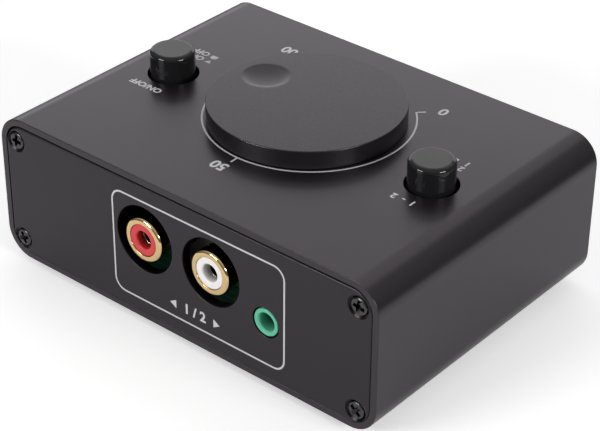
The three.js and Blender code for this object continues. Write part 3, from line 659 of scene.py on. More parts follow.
def finishes():
    """All finishes by name, made once."""
    if FINISHES:
        return FINISHES
    given = bpy.context.scene.selector_finishes
    # A darker tone of the panel for the countersinks: painted shade.
    countersink_shade = [0.3 * c for c in given.panel]
    made = {
        "sleeve": anodised("Sleeve aluminium", given.sleeve, given.satin),
        # Panel: painted shade in its hole walls and countersinks, darker with depth behind the
        # face.
        "panel": anodised("Panel aluminium", given.panel, given.satin + 0.02)
        .painted_shade_inside(0.35, 0.7, 0.25),
        "countersink_shade": anodised("Countersink aluminium", countersink_shade, given.satin),
        "knob": anodised("Knob aluminium", given.knob, given.satin - 0.02)
        .rougher_under(high("volume_knob").z - 0.25, 0.42),
        "screw": turned_metal("Blackened steel", given.screw, 0.22, 0.2),
        # Gold: painted shade deep inside the shells, darker with depth.
        "gold": turned_metal("Gold plating", given.gold, 0.09, 0.05)
        .painted_shade_inside(3.0, 6.0, 0.12),
        # Contacts: painted shade deep in the bores, darker with depth.
        "contact": turned_metal("Gold contact", (0.55, 0.45, 0.30), 0.2, 0.05)
        .painted_shade_inside(1.6, 2.2, 0.05),
        # Insulators: painted shade down their bores, darker with depth.
        "red": moulded("Red insulator", given.red, 0.30).painted_shade_inside(0.2, 2.0, 0.25),
        "white": moulded("White insulator", given.white, 0.34).painted_shade_inside(0.2, 2.0, 0.35),
        # Jack mouldings: painted shade down their bores, darker with depth.
        "green": moulded("Green moulding", given.green, 0.33).painted_shade_inside(0.6, 4.0, 0.1),
        "black": moulded("Black moulding", (0.05, 0.05, 0.051), 0.5, 0.3, 0.01),
        "nylon": moulded("Natural nylon", (0.70, 0.68, 0.60), 0.45),
        "rubber": moulded("Foot rubber", (0.018, 0.018, 0.018), 0.75, 0.2, 0.01),
        "steel": turned_metal("Plated steel", (0.55, 0.55, 0.54), 0.32, 0.1),
        "tin": turned_metal("Tinned terminal", (0.62, 0.63, 0.64), 0.35, 0.15),
        "brass": turned_metal("Nickel on brass", (0.58, 0.53, 0.40), 0.3, 0.1),
        "spring": turned_metal("Spring wire", (0.50, 0.51, 0.52), 0.26, 0.08),
        "board": board_finish(given.board),
    }
    cap = Finish("Polished black", given.cap, 0.06)
    put(cap.tree, 0.34, cap.shader.inputs["Specular IOR Level"])
    cap.shade(cap.grain(2, 2), 0.9, 1.1)
    cap.wear(cap.grain(1.2, 3), 0.02, 0.03)
    made["cap"] = cap.bump(cap.grain(2.2, 1), 0.002, 0.25)
    ink = Finish("Screen-printed ink", given.ink, 0.55)
    ink.shade(ink.grain(0.4, 3), 0.88, 1.06)
    made["ink"] = ink.bump(ink.grain(0.15, 2), 0.002, 0.4)
    FINISHES.update({name: finish.material for name, finish in made.items()})
    return FINISHES


# Sleeve


def ribbed_quarter(s, lower):
    """Inner outline of a quarter of the sleeve, from above the middle to its side, in X and Z."""
    width, height = high("housing_sleeve").x, (SLEEVE_TOP - low("housing_sleeve").z) / 2
    milled = 0.05  # the end pockets are milled this much wider than the drawn inside
    side, ceiling = width - s["wall"] - milled, height - s["wall"] - milled
    screw = middle(f"output_panel_screw_{2 if lower else 4}")
    x, z = screw.x, abs(screw.z - SLEEVE_TOP + height)
    outer, bore, slot = s["channel"] / 2, s["channel_bore"] / 2, s["channel_slot"] / 2
    outward, inward = math.asin(slot / outer), math.asin(slot / bore)
    line = [(0, ceiling), (x - outer, ceiling)]
    line += arc((x, z), outer, math.pi, math.pi - outward, 2)
    line += arc((x, z), bore, math.pi - inward, inward - math.pi, 20)
    line += arc((x, z), outer, math.pi + outward, 1.5 * math.pi, 6)
    line.append((side, z - outer))
    if lower:
        board = (SLEEVE_TOP + low("housing_sleeve").z) / 2 - high("main_board").z
        play, rail_far, rail_reach = 0.1, 1.3, 1.9
        near, far, reach = board - play, board - rail_far, side - rail_reach
        line += [(side, near), (reach, near), (reach, far), (side, far)]
    line.append((side, 0))
    return line


def ribbed_outline(s, depth):
    """Closed inner outline of the sleeve with its screw channels and board rails."""
    upper, under = ribbed_quarter(s, False), ribbed_quarter(s, True)
    line = upper[:-1] + [(x, -z) for x, z in reversed(under)]
    line += [(-x, -z) for x, z in under[1:-1]] + [(-x, z) for x, z in reversed(upper)]
    kept, apart = [], 1e-3
    for point in line:
        if not kept or math.dist(point, kept[-1]) > apart:
            kept.append(point)
    if math.dist(kept[0], kept[-1]) < apart:
        kept.pop()
    return [(x, depth, z) for x, z in kept]


def sleeve_form(s):
    """The drawn sleeve, before its holes: outer skin, milled end pockets and ribbed middle."""
    mesh = bmesh.new()
    width = 2 * high("housing_sleeve").x
    tall = SLEEVE_TOP - low("housing_sleeve").z
    end = high("housing_sleeve").y
    edge, lip = s["rim_edge"], s["rim_edge"] / 2

    def outer(depth, inset):
        return add_ring(mesh, box_section(width, tall, s["corner"], depth, inset))

    def inner(depth, inset):
        inside = s["corner"] - s["wall"]
        return add_ring(mesh, box_section(
            width - 2 * s["wall"], tall - 2 * s["wall"], inside, depth, inset))

    def edges(draw, size, sign):
        return [draw(-end + d, sign * i) for i, d in quarter(size)], \
            [draw(end - d, sign * i) for i, d in quarter(size)]

    skin_front, skin_back = edges(outer, edge, 1)
    bridge(mesh, skin_front + skin_back[::-1])
    lip_front, lip_back = edges(inner, lip, -1)
    spare = 0.1  # how much deeper the pockets are than the panels are thick
    pocket = end - low("source_panel").y + spare
    floor_front, floor_back = inner(-end + pocket, 0), inner(end - pocket, 0)
    bridge(mesh, lip_front + [floor_front])
    bridge(mesh, lip_back + [floor_back])
    flat(mesh, skin_front[0], lip_front[0])
    flat(mesh, skin_back[0], lip_back[0])
    rib_front = add_ring(mesh, ribbed_outline(s, -end + pocket))
    rib_back = add_ring(mesh, ribbed_outline(s, end - pocket))
    bridge(mesh, [rib_front, rib_back])
    flat(mesh, floor_front, rib_front)
    flat(mesh, floor_back, rib_back)
    place = Matrix.Translation((0, 0, SLEEVE_TOP - tall / 2))
    return from_millimetres("drawn_sleeve", mesh, finishes()["sleeve"], place, crease=38)


def opening_form(s, radius, x, y):
    """Cutter of a round opening through the top of the sleeve, with a rounded rim."""
    edge, under, over = s["hole_edge"], SLEEVE_TOP - 2 * s["wall"], SLEEVE_TOP + 1
    profile = [(0, under), (radius, under)]
    profile += [(radius + i, SLEEVE_TOP - d) for i, d in reversed(quarter(edge))]
    profile += [(radius + edge, over), (0, over)]
    place = Matrix.Translation((x, y, 0))
    return from_millimetres("opening", turned(profile, 96), finishes()["sleeve"], place)


class SELECTOR_OT_sleeve(bpy.types.Operator):
    """Build the drawn aluminium sleeve with its screw channels, board rails and top openings"""

    bl_idname = "selector.sleeve"
    bl_label = "Sleeve"

    def execute(self, context):
        s = sizes()
        sleeve = sleeve_form(s)
        knob = middle("volume_knob")
        holes = [(s["hub_hole"] / 2, knob.x, knob.y)]
        mute, select = (middle(f"{name}_switch_case").x for name in BUTTONS)
        out = (select - mute) / 2
        holes += [(s["button_hole"] / 2, x, 0) for x in (-out, out)]
        for radius, x, y in holes:
            cut_by(sleeve, opening_form(s, radius, x, y))
        weighted(sleeve)
        fit(sleeve, "housing", ["housing_sleeve"])
        return {"FINISHED"}


# End panels and what is on them, drawn as seen from outside, with depth behind the face


def end_place(side):
    """From a panel's own view to the object's frame."""
    if side == "output":
        return Matrix.Translation((0, -FACE_Y, 0))
    return Matrix.Translation((0, FACE_Y, 0)) @ Matrix.Rotation(math.pi, 4, "Z")


def seen_x(side, x):
    """A place along X, as seen from outside that panel."""
    return x if side == "output" else -x


def groups_of(side):
    """The socket groups on a panel."""
    return ["output"] if side == "output" else ["source_a", "source_b"]


def phono_places(side):
    """Axis of each phono socket on a panel, as seen from outside: x and z."""
    nodes = [f"{g}_phono_{hand}_insulator" for g in groups_of(side) for hand in ("left", "right")]
    return [(seen_x(side, middle(n).x), middle(n).z) for n in nodes]


def jack_places(side):
    """Axis of each 3.5 mm socket on a panel, as seen from outside: x and z."""
    nodes = [f"{g}_jack_body" for g in groups_of(side)]
    return [(seen_x(side, middle(n).x), low(n).z + JACK_AXIS) for n in nodes]


def screw_places(side):
    """Axis of each panel screw, as seen from outside: x and z."""
    names = [f"{side}_panel_screw_{k}" for k in CORNERS]
    return [(seen_x(side, middle(n).x), middle(n).z) for n in names]


def on_panels(places, hand=None):
    """Places of both panels in the object's frame, or one hand's of them, with their facing."""
    found = []
    for side, face, facing in (("output", -FACE_Y, 0.0), ("source", FACE_Y, math.pi)):
        seen = places(side) if hand is None else places(side)[hand::2]
        found += [(seen_x(side, x), face, z, facing) for x, z in seen]
    return found


def sink_form(place, thick):
    """Cutter of a countersink through a panel of that thickness, whose faces give the countersink
    its darker finish of painted shade.
    """
    mouth, bore, over, under = 2.32, 1.25, -0.5, thick + 0.5
    profile = [
        (0, over), (mouth, over), (mouth, -0.01), (2.2, 0.03), (bore, 0.98), (bore, under),
        (0, under),
    ]
    return from_millimetres("countersink", turned(profile, 64, "Y"), finishes()["countersink_shade"], place)


def panel_form(side, s):
    """One end panel with its round openings and countersinks."""
    mesh = bmesh.new()
    node = f"{side}_panel"
    width, tall = high(node).x - low(node).x, high(node).z - low(node).z
    thick = high(node).y - low(node).y
    radius = s["corner"] - (2 * high("housing_sleeve").x - width) / 2
    centre = middle(node).z
    steps = quarter(s["panel_edge"]) + [(0, thick)]
    rings = [add_ring(mesh, box_section(width, tall, radius, d, i)) for i, d in steps]
    for vertex in mesh.verts:
        vertex.co.x += s["panel_rest"]
        vertex.co.z += centre - (s["panel_rest"] if vertex.co.z < 0 else 0)
    bridge(mesh, rings)
    faces, backs = [rings[0]], [rings[-1]]
    plain = [("socket_hole", phono_places(side), 96), ("jack_hole", jack_places(side), 64)]
    for size, places, sides in plain:
        steps = [(s[size] / 2 + i, d) for i, d in quarter(s["hole_edge"])]
        steps.append((s[size] / 2, thick))
        for x, z in places:
            hole = [add_ring(mesh, facing_circle(r, d, sides, x, z)) for r, d in steps]
            bridge(mesh, hole)
            faces.append(hole[0])
            backs.append(hole[-1])
    flat(mesh, *faces)
    flat(mesh, *backs)
    panel = from_millimetres(f"{side}_end_panel", mesh, finishes()["panel"], end_place(side))
    for x, z in screw_places(side):
        place = end_place(side) @ Matrix.Translation((x, 0, z))
        # The countersinks' faces take the cutter's darker finish: painted shade.
        cut_by(panel, sink_form(place, thick), material_mode="TRANSFER")
    panel.data.set_sharp_from_angle(angle=math.radians(32))
    fit(weighted(panel), "housing", [node])


class SELECTOR_OT_panels(bpy.types.Operator):
    """Build the two end panels with their openings and countersinks"""

    bl_idname = "selector.panels"
    bl_label = "End panels"

    def execute(self, context):
        for side in SIDES:
            panel_form(side, sizes())
        return {"FINISHED"}


def screw_form():
    """A countersunk screw with a low crown, its head just in the panel's face."""
    head, shank, tip, end = sizes()["screw_head"] / 2, 1.0, 0.35, 7.0
    profile = [(0, -0.03), (0.6, -0.015)] + rounded([
        (1.1, 0.02), (head, 0.12, 0.36), (head - 0.02, 0.6, 0.05), (shank, 1.12, 0.1),
        (shank, 6.0), (tip, end), (0, end),
    ], 5)
    return from_millimetres("screw_head", turned(profile, 48, "Y"), finishes()["screw"], crease=40)


def recess_form():
    """Cutter of the cross recess: two tapering slots."""
    mesh = bmesh.new()
    mouth, ground = (-0.5, 1.65, 0.5), (0.9, 0.6, 0.2)
    for crosswise in (False, True):
        corners = []
        for depth, reach, half in (mouth, ground):
            square = [(-reach, -half), (reach, -half), (reach, half), (-reach, half)]
            if crosswise:
                square = [(-v, u) for u, v in square]
            corners.append(add_ring(mesh, [(u, depth, v) for u, v in square]))
        bridge(mesh, corners)
        lid(mesh, corners[0])
        lid(mesh, corners[1])
    return from_millimetres("recess", mesh, finishes()["screw"], crease=10)


class SELECTOR_OT_screws(bpy.types.Operator):
    """Put the eight panel screws in their countersinks, each turned its own way"""

    bl_idname = "selector.screws"
    bl_label = "Panel screws"

    def execute(self, context):
        part = screw_form()
        cut_by(part, recess_form(), use_self=True)
        part.data.set_sharp_from_angle(angle=math.radians(35))
        places = on_panels(screw_places)
        screws = repeated(
            "panel_screws", part, places, finishes()["screw"], largest_turn=math.pi / 2, seed=7)
        nodes = [f"{side}_panel_screw_{k}" for side in SIDES for k in CORNERS]
        fit(screws, "housing", nodes)
        return {"FINISHED"}


def shell_form(s):
    """Gold-plated shell with a rounded rim, a flange and its ground tab."""
    outer, inner, front = s["shell"] / 2, s["shell_bore"] / 2, -s["shell_proud"]
    flange, flange_front, flange_back = 5.0, 9.0, 9.6
    profile = rounded([
        (inner, front, 0.12), (outer, front, s["shell_rim"]), (outer, flange_front, 0.15),
        (flange, flange_front, 0.15), (flange, flange_back, 0.1), (inner, flange_back, 0.1),
    ], 6, closed=True)
    mesh = turned(profile, 96, "Y", closed=True)
    half_tab, tab_front, tab_top = 0.7, 9.1, -4.6
    drop = middle(PHONO + "insulator").z - low(PHONO + "shell").z
    bar(mesh, (-half_tab, tab_front, -drop), (half_tab, flange_back, tab_top))
    return from_millimetres("shell", mesh, finishes()["gold"], crease=40)


def insulator_form(s):
    """Coloured insulator with a rounded mouth and a lip before the contact."""
    play, sunk, mouth, bore, lip, back = 0.08, 0.12, 1.75, 2.0, 1.8, 13.2
    outer, front = s["shell_bore"] / 2 - play, sunk - s["shell_proud"]
    profile = rounded([
        (mouth, front, 0.34), (outer, front, 0.12), (outer, back),
        (bore, back), (bore, front + lip, 0.05), (mouth, front + lip, 0.05),
    ], 6, closed=True)
    return turned(profile, 80, "Y", closed=True)


def contact_form(s):
    """Centre contact: a plated cup with its tail."""
    sunk, ground, back = 2.0, 13.55, 14.15
    inner, outer, half_tail, tail_top = 1.67, 1.92, 0.5, -1.5
    front = sunk - s["shell_proud"]
    drop = middle(PHONO + "insulator").z - low(PHONO + "contact").z
    profile = rounded([
        (0, ground), (inner, ground), (inner, front, 0.1), (outer, front, 0.1), (outer, back),
        (0, back),
    ], 3)
    mesh = turned(profile, 48, "Y")
    bar(mesh, (-half_tail, ground, -drop), (half_tail, back, tail_top))
    return from_millimetres("contact", mesh, finishes()["contact"], crease=40)


class SELECTOR_OT_phono(bpy.types.Operator):
    """Build the phono sockets: gold shells, red and white insulators and centre contacts"""

    bl_idname = "selector.phono"
    bl_label = "Phono sockets"

    def execute(self, context):
        s = sizes()

        def nodes(part, hands=("left", "right")):
            return [f"{g}_phono_{hand}_{part}" for g in SOCKETS for hand in hands]

        made = finishes()
        shells = repeated("phono_shells", shell_form(s), on_panels(phono_places), made["gold"])
        fit(shells, "housing", nodes("shell"))
        for hand, side, name in ((0, "left", "red"), (1, "right", "white")):
            part = from_millimetres(f"{name}_part", insulator_form(s), made[name], crease=40)
            places = on_panels(phono_places, hand)
            insulators = repeated(f"{name}_insulators", part, places, made[name])
            fit(insulators, "housing", nodes("insulator", (side,)))
        contacts = repeated(
            "phono_contacts", contact_form(s), on_panels(phono_places), made["contact"])
        fit(contacts, "housing", nodes("contact"))
        return {"FINISHED"}


def jack_form():
    """Moulded 3.5 mm socket: a round nose with its bore, and a square body in one."""
    mesh = bmesh.new()
    node = "output_jack_body"
    half = (high(node).x - low(node).x) / 2
    under, over = -JACK_AXIS, high(node).z - low(node).z - JACK_AXIS
    bore, nose, tip, end, cut = 1.8, 2.7, 0.03, 13.0, 0.8
    front, back = 2.4, high(node).y - low(node).y + 0.05
    line = [(bore, end), (bore, 0.35)]
    line += rounded([
        (bore, 0.6), (1.98, tip, 0.22), (nose, tip, 0.2), (nose, 1.2),
    ], 5)[1:-1]
    line.append((nose, front))
    rings = [add_ring(mesh, facing_circle(r, d, 64)) for r, d in line]
    lid(mesh, rings[0])
    bridge(mesh, rings)
    outline = [
        (half, over - cut), (half - cut, over), (cut - half, over), (-half, over - cut),
        (-half, under + cut), (cut - half, under), (half - cut, under), (half, under + cut),
    ]
    body = [add_ring(mesh, [(u, d, v) for u, v in outline]) for d in (front, back)]
    flat(mesh, body[0], rings[-1])
    bridge(mesh, body)
    lid(mesh, body[1])
    return from_millimetres("jack", mesh, finishes()["green"], crease=30)


class SELECTOR_OT_jacks(bpy.types.Operator):
    """Build the light green 3.5 mm sockets"""

    bl_idname = "selector.jacks"
    bl_label = "3.5 mm sockets"

    def execute(self, context):
        jacks = repeated("jack_mouldings", jack_form(), on_panels(jack_places), finishes()["green"])
        fit(weighted(jacks), "housing", [f"{g}_jack_body" for g in SOCKETS])
        return {"FINISHED"}


# Knob, buttons and feet


def knob_form(s):
    """The turned volume disc with its finger dimple, hub and shaft bore, about its own axis."""
    mesh = bmesh.new()
    node, sides, dish_sides = "volume_knob", 160, 96
    radius = (high(node).x - low(node).x) / 2
    top, bottom, hub, bore = high(node).z, low(node).z, 5.8, 3.08
    bore_top, gap = SLEEVE_TOP + 2.4, SLEEVE_TOP + s["knob_gap"]
    skirt = rounded([
        (bore, bottom), (hub, bottom, 0.25), (hub, gap, 0.4), (radius, gap, 0.12),
        (radius, top, s["knob_edge"]), (radius - 2, top),
    ], 6)[:-1]
    rings = [add_ring(mesh, circle(r, z, sides)) for r, z in [(bore, bore_top), *skirt]]
    lid(mesh, rings[0])
    bridge(mesh, rings)
    half, depth, bowl_steps, lip = s["dimple"] / 2, s["dimple_depth"], 12, 0.6
    ball = (half * half + depth * depth) / (2 * depth)
    bowl = [half * k / bowl_steps for k in range(bowl_steps - 1, 0, -1)]
    line = [(half + lip, 0), (half, 0, 1.4)]
    line += [(r, ball - depth - math.sqrt(ball * ball - r * r)) for r in bowl]
    x = s["dimple_out"] * math.cos(DIMPLE_ANGLE)
    y = s["dimple_out"] * math.sin(DIMPLE_ANGLE)
    dish = [add_ring(mesh, circle(r, top + z, dish_sides, x, y)) for r, z in rounded(line, 6)]
    bridge(mesh, dish)
    lowest = mesh.verts.new((x, y, top - depth))
    for k in range(dish_sides):
        mesh.faces.new((dish[-1][k], dish[-1][(k + 1) % dish_sides], lowest))
    flat(mesh, rings[-1], dish[0])
    centre = middle(node)
    place = Matrix.Translation((centre.x, centre.y, 0))
    return from_millimetres("volume_disc", mesh, finishes()["knob"], place, crease=30)


class SELECTOR_OT_knob(bpy.types.Operator):
    """Build the flat turned volume knob with its finger dimple"""

    bl_idname = "selector.knob"
    bl_label = "Volume knob"

    def execute(self, context):
        knob = weighted(knob_form(sizes()))
        fit(knob, "knob", ["volume_knob"])
        return {"FINISHED"}


def cap_form(name, s):
    """A round button cap with a rounded top edge and a square socket for its stem."""
    mesh = bmesh.new()
    node = f"{name}_button_cap"
    radius = (high(node).x - low(node).x) / 2
    top, bottom = high(node).z, low(node).z
    skirt = rounded([
        (radius - 1.2, bottom), (radius, bottom, 0.3), (radius, top, s["cap_edge"]),
        (radius - 2, top),
    ], 10)[1:-1]
    rings = [add_ring(mesh, circle(r, z, 96)) for r, z in skirt]
    bridge(mesh, rings)
    lid(mesh, rings[-1])
    half, air = 1.82, 0.3  # of the stem's socket, and over the stem
    square = [(half, half), (-half, half), (-half, -half), (half, -half)]
    ceiling = high(f"{name}_plunger").z + air
    socket = [add_ring(mesh, [(u, v, z) for u, v in square]) for z in (bottom, ceiling)]
    bridge(mesh, socket)
    lid(mesh, socket[1])
    flat(mesh, rings[0], socket[0])
    centre = middle(node)
    place = Matrix.Translation((centre.x, centre.y, 0))
    return from_millimetres(f"{name}_cap", mesh, finishes()["cap"], place, crease=30)


class SELECTOR_OT_buttons(bpy.types.Operator):
    """Build the two gloss black button caps"""

    bl_idname = "selector.buttons"
    bl_label = "Button caps"

    def execute(self, context):
        for name in BUTTONS:
            cap = weighted(cap_form(name, sizes()))
            fit(cap, f"{name}_button", [f"{name}_button_cap"])
        return {"FINISHED"}


class SELECTOR_OT_springs(bpy.types.Operator):
    """Wind the return springs under the two caps, at their height with the buttons up"""

    bl_idname = "selector.springs"
    bl_label = "Return springs"

    def execute(self, context):
        turns, wire, outer, travel = 6.0, 0.18, 3.2, 2.5
        for name in BUTTONS:
            node = f"{name}_spring"
            start, rise = low(node).z, high(node).z - low(node).z
            coil = f"{name}_return_coil"
            thing = linked(coil, bpy.data.meshes.new(coil))
            shape_by(thing, "Wound coil", coil_tree, {
                "Turns": turns, "Radius": (outer - wire) * MM, "Wire radius": wire * MM,
                "Rise": (rise - 2 * wire) * MM, "Finish": finishes()["spring"],
            })
            centre = middle(f"{name}_switch_case")
            thing.data.transform(Matrix.Translation(
                Vector((centre.x, centre.y, start + wire)) * MM))
            thing.data.polygons.foreach_set("use_smooth", [True] * len(thing.data.polygons))
            fit(thing, "housing", [node])
            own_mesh(thing)
        return {"FINISHED"}


class SELECTOR_OT_feet(bpy.types.Operator):
    """Put the four rubber feet under the sleeve"""

    bl_idname = "selector.feet"
    bl_label = "Rubber feet"

    def execute(self, context):
        names = [f"rubber_foot_{k}" for k in CORNERS]
        radius = (high(names[0]).x - low(names[0]).x) / 2
        top, hollow = high(names[0]).z, 0.25
        profile = rounded([
            (0, hollow), (radius - 1.4, hollow, 0.15), (radius - 1.1, 0, 0.1),
            (radius, 0, 0.35), (radius - 0.15, top, 0.1), (0, top),
        ], 4)
        part = from_millimetres("foot", turned(profile, 64), finishes()["rubber"], crease=40)
        places = [(middle(n).x, middle(n).y, 0, 0.0) for n in names]
        feet = repeated("rubber_feet", part, places, finishes()["rubber"])
        fit(feet, "housing", names)
        return {"FINISHED"}


# Printed marks: thin closed plates of ink, drawn flat in X and Y and then laid on a face


def ink_plate(mesh, thick, outline, holes=()):
    """Adds one closed plate of ink from an outline and the holes in it."""
    tops, bases = [], []
    for line in [outline, *holes]:
        base = add_ring(mesh, [(x, y, -thick) for x, y in line])
        top = add_ring(mesh, [(x, y, thick) for x, y in line])
        bridge(mesh, [base, top])
        tops.append(top)
        bases.append(base)
    flat(mesh, *tops)
    flat(mesh, *bases)


def ink_arc(mesh, thick, centre, radius, width, start, end):
    """Adds a curved line of ink."""
    steps = 160
    outer = arc(centre, radius + width / 2, start, end, steps)
    inner = arc(centre, radius - width / 2, end, start, steps)
    ink_plate(mesh, thick, outer + inner)


def ink_bar(mesh, thick, start, end, width):
    """Adds a straight line of ink."""
    across = (end - start).orthogonal().normalized() * width / 2
    corners = (start - across, end - across, end + across, start + across)
    ink_plate(mesh, thick, [tuple(p) for p in corners])


def ink_frame(mesh, thick, x0, y0, x1, y1, radius, width):
    """Adds a rounded frame line of ink."""
    def outline(inset):
        corners = [
            (x0 + inset, y0 + inset), (x1 - inset, y0 + inset),
            (x1 - inset, y1 - inset), (x0 + inset, y1 - inset),
        ]
        return rounded([(*c, radius - inset) for c in corners], 12, closed=True)
    ink_plate(mesh, thick, outline(-width / 2), [outline(width / 2)])


def ink_words(mesh, thick, words, x, y, height, bold=0.03, turn=math.pi):
    """Adds plain figures or words, centred on a place, with capitals of a height."""
    curve = bpy.data.curves.new("words", "FONT")
    curve.body = words
    curve.align_x, curve.align_y = "CENTER", "CENTER"
    curve.extrude = thick
    curve.offset = bold
    curve.resolution_u = 6
    thing = linked("words", curve)
    graph = bpy.context.evaluated_depsgraph_get()
    data = bpy.data.meshes.new_from_object(thing.evaluated_get(graph), depsgraph=graph)
    capital = 0.69  # height of a capital in letters of size one
    scale = height / capital
    place = Matrix.Translation((x, y, 0)) @ Matrix.Rotation(turn, 4, "Z")
    data.transform(place @ Matrix.Diagonal((scale, scale, 1, 1)))
    mesh.from_mesh(data)
    bpy.data.objects.remove(thing)
    bpy.data.meshes.remove(data)


def ink_object(name, mesh, place):
    """Lays finished ink on a face."""
    fit(from_millimetres(name, mesh, finishes()["ink"], place, crease=30), "housing")


class SELECTOR_OT_print(bpy.types.Operator):
    """Print the dial, the button marks and the frames on the panels"""

    bl_idname = "selector.print"
    bl_label = "Printed marks"

    def execute(self, context):
        s = sizes()
        self.top_marks(s)
        for side in SIDES:
            self.panel_marks(side, s)
        return {"FINISHED"}

    def top_marks(self, s):
        """Dial line, its figures and the marks beside the buttons."""
        mesh = bmesh.new()
        thick, line, radius = s["ink"], s["line"], s["dial"]
        centre = (middle("volume_knob").x, s["dial_back"])
        start, end = math.radians(45), math.radians(-225)
        tick, figure, letter = 1.85, 2.3, 1.45
        ink_arc(mesh, thick, centre, radius, line, end, start)
        for angle in (start, -math.pi / 2, end):
            way = Vector((math.cos(angle), math.sin(angle)))
            near, far = (Vector(centre) + way * (radius + u) for u in (line / 2, tick))
            ink_bar(mesh, thick, near, far, line)
        for words, x, y in (("0", 17.5, 21.75), ("50", -1.15, -19.8), ("100", -19.1, 21.5)):
            ink_words(mesh, thick, words, x, y, figure)
        for words, x, y in (("ON/OFF", -31.35, -7.2), ("1  -  2", 30.5, -7.45)):
            ink_words(mesh, thick, words, x, y, letter, bold=0.035)
        left = (("OFF", -32.5, 9.75, -29.2), ("ON", -32.0, 7.7, -28.9))
        right = (("1", 32.0, 9.35, 29.2), ("2", 32.0, 7.35, 29.2))
        for places in (left, right):
            self.position_marks(mesh, thick, letter, places)
        ink_object("top_print", mesh, Matrix.Translation((0, 0, SLEEVE_TOP)))

    def position_marks(self, mesh, thick, letter, places):
        """Marks of the raised and the pressed button, with their plain figures."""
        raised = ((-0.75, -0.5), (0, -1.0), (0.75, -0.5), (0.75, 0.4), (-0.75, 0.4))
        pressed = ((-0.75, -0.55), (0.75, -0.55), (0, 0.5))
        for outline, (words, x, y, mark) in zip((raised, pressed), places):
            ink_words(mesh, thick, words, x, y, letter)
            ink_plate(mesh, thick, [(mark + u, y + v) for u, v in outline])

    def panel_marks(self, side, s):
        """Frame lines and channel figures on a panel, as seen from outside."""
        mesh = bmesh.new()
        thick, line = s["ink"], s["line"]
        if side == "output":
            x, y, out, arrow, half = 3.9, 8.6, 6.0, 1.5, 0.9
            ink_frame(mesh, thick, -15.82, 5.76, 24.87, 27.16, 2.4, line)
            ink_words(mesh, thick, "1 / 2", x, y, 2.0, turn=0)
            for way in (-1, 1):
                tip, foot = x + way * out, x + way * (out - arrow)
                ink_plate(mesh, thick, [(tip, y), (foot, y + half), (foot, y - half)])
        else:
            for words, way in (("1", -1), ("2", 1)):
                near, far = sorted((way * 1.0, way * 39.2))
                ink_frame(mesh, thick, near, 8.6, far, 26.75, 2.8, line)
                ink_words(mesh, thick, words, way * 23.5, 10.9, 1.9, bold=0.012, turn=0)
        upright = Matrix.Rotation(math.pi / 2, 4, "X")
        ink_object(f"{side}_print", mesh, end_place(side) @ upright)


# Finishes of the CAD nodes that stay


class SELECTOR_OT_inside(bpy.types.Operator):
    """Give the board, the switches, the potentiometer and the socket bodies their finishes"""

    bl_idname = "selector.inside"
    bl_label = "Inside parts"

    def execute(self, context):
        made = finishes()
        looks = {
            "board": ["main_board"],
            "black": ["pot_case"] + [f"{n}_switch_case" for n in BUTTONS]
            + [f"{g}_phono_body" for g in SOCKETS],
            "tin": [f"{g}_jack_terminal" for g in SOCKETS],
            "steel": ["pot_cover"],
            "brass": ["pot_shaft"],
            "nylon": ["pot_wiper"] + [f"{n}_plunger" for n in BUTTONS],
        }
        for look, nodes in looks.items():
            for node in nodes:
                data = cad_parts[node].data
                data.materials.clear()
                data.materials.append(made[look])
        return {"FINISHED"}


# Studio


def soft_light(name, width, tall, place, radiance):
    """A large soft light on the object that the camera doesn't see."""
    data = bpy.data.lights.new(name, "AREA")
    data.shape = "RECTANGLE"
    data.size, data.size_y = width, tall
    data.energy = radiance * math.pi * width * tall
    light = linked(name, data)
    aim = Vector((0, 0, 0.015))
    way = aim - Vector(place)
    turn = way.to_track_quat("-Z", "Y").to_matrix().to_4x4()
    light.matrix_world = Matrix.Translation(place) @ turn
    light.visible_camera = False


def mixed(tree, share, first, second):
    """A shader between two others."""
    node = tree.nodes.new("ShaderNodeMixShader")
    for socket, value in zip(node.inputs, (share, first, second)):
        put(tree, value, socket)
    return node.outputs["Shader"]


def shone(tree, kind, level):
    """A background or an emission of white at a level."""
    node = tree.nodes.new(kind)
    put(tree, (1, 1, 1, 1), node.inputs["Color"])
    put(tree, level, node.inputs["Strength"])
    return node.outputs[0]


def in_gloss(tree, path):
    """One for rays in gloss and glass."""
    gloss, glass = path.outputs["Is Glossy Ray"], path.outputs["Is Transmission Ray"]
    return joined(tree, "MAXIMUM", gloss, glass)


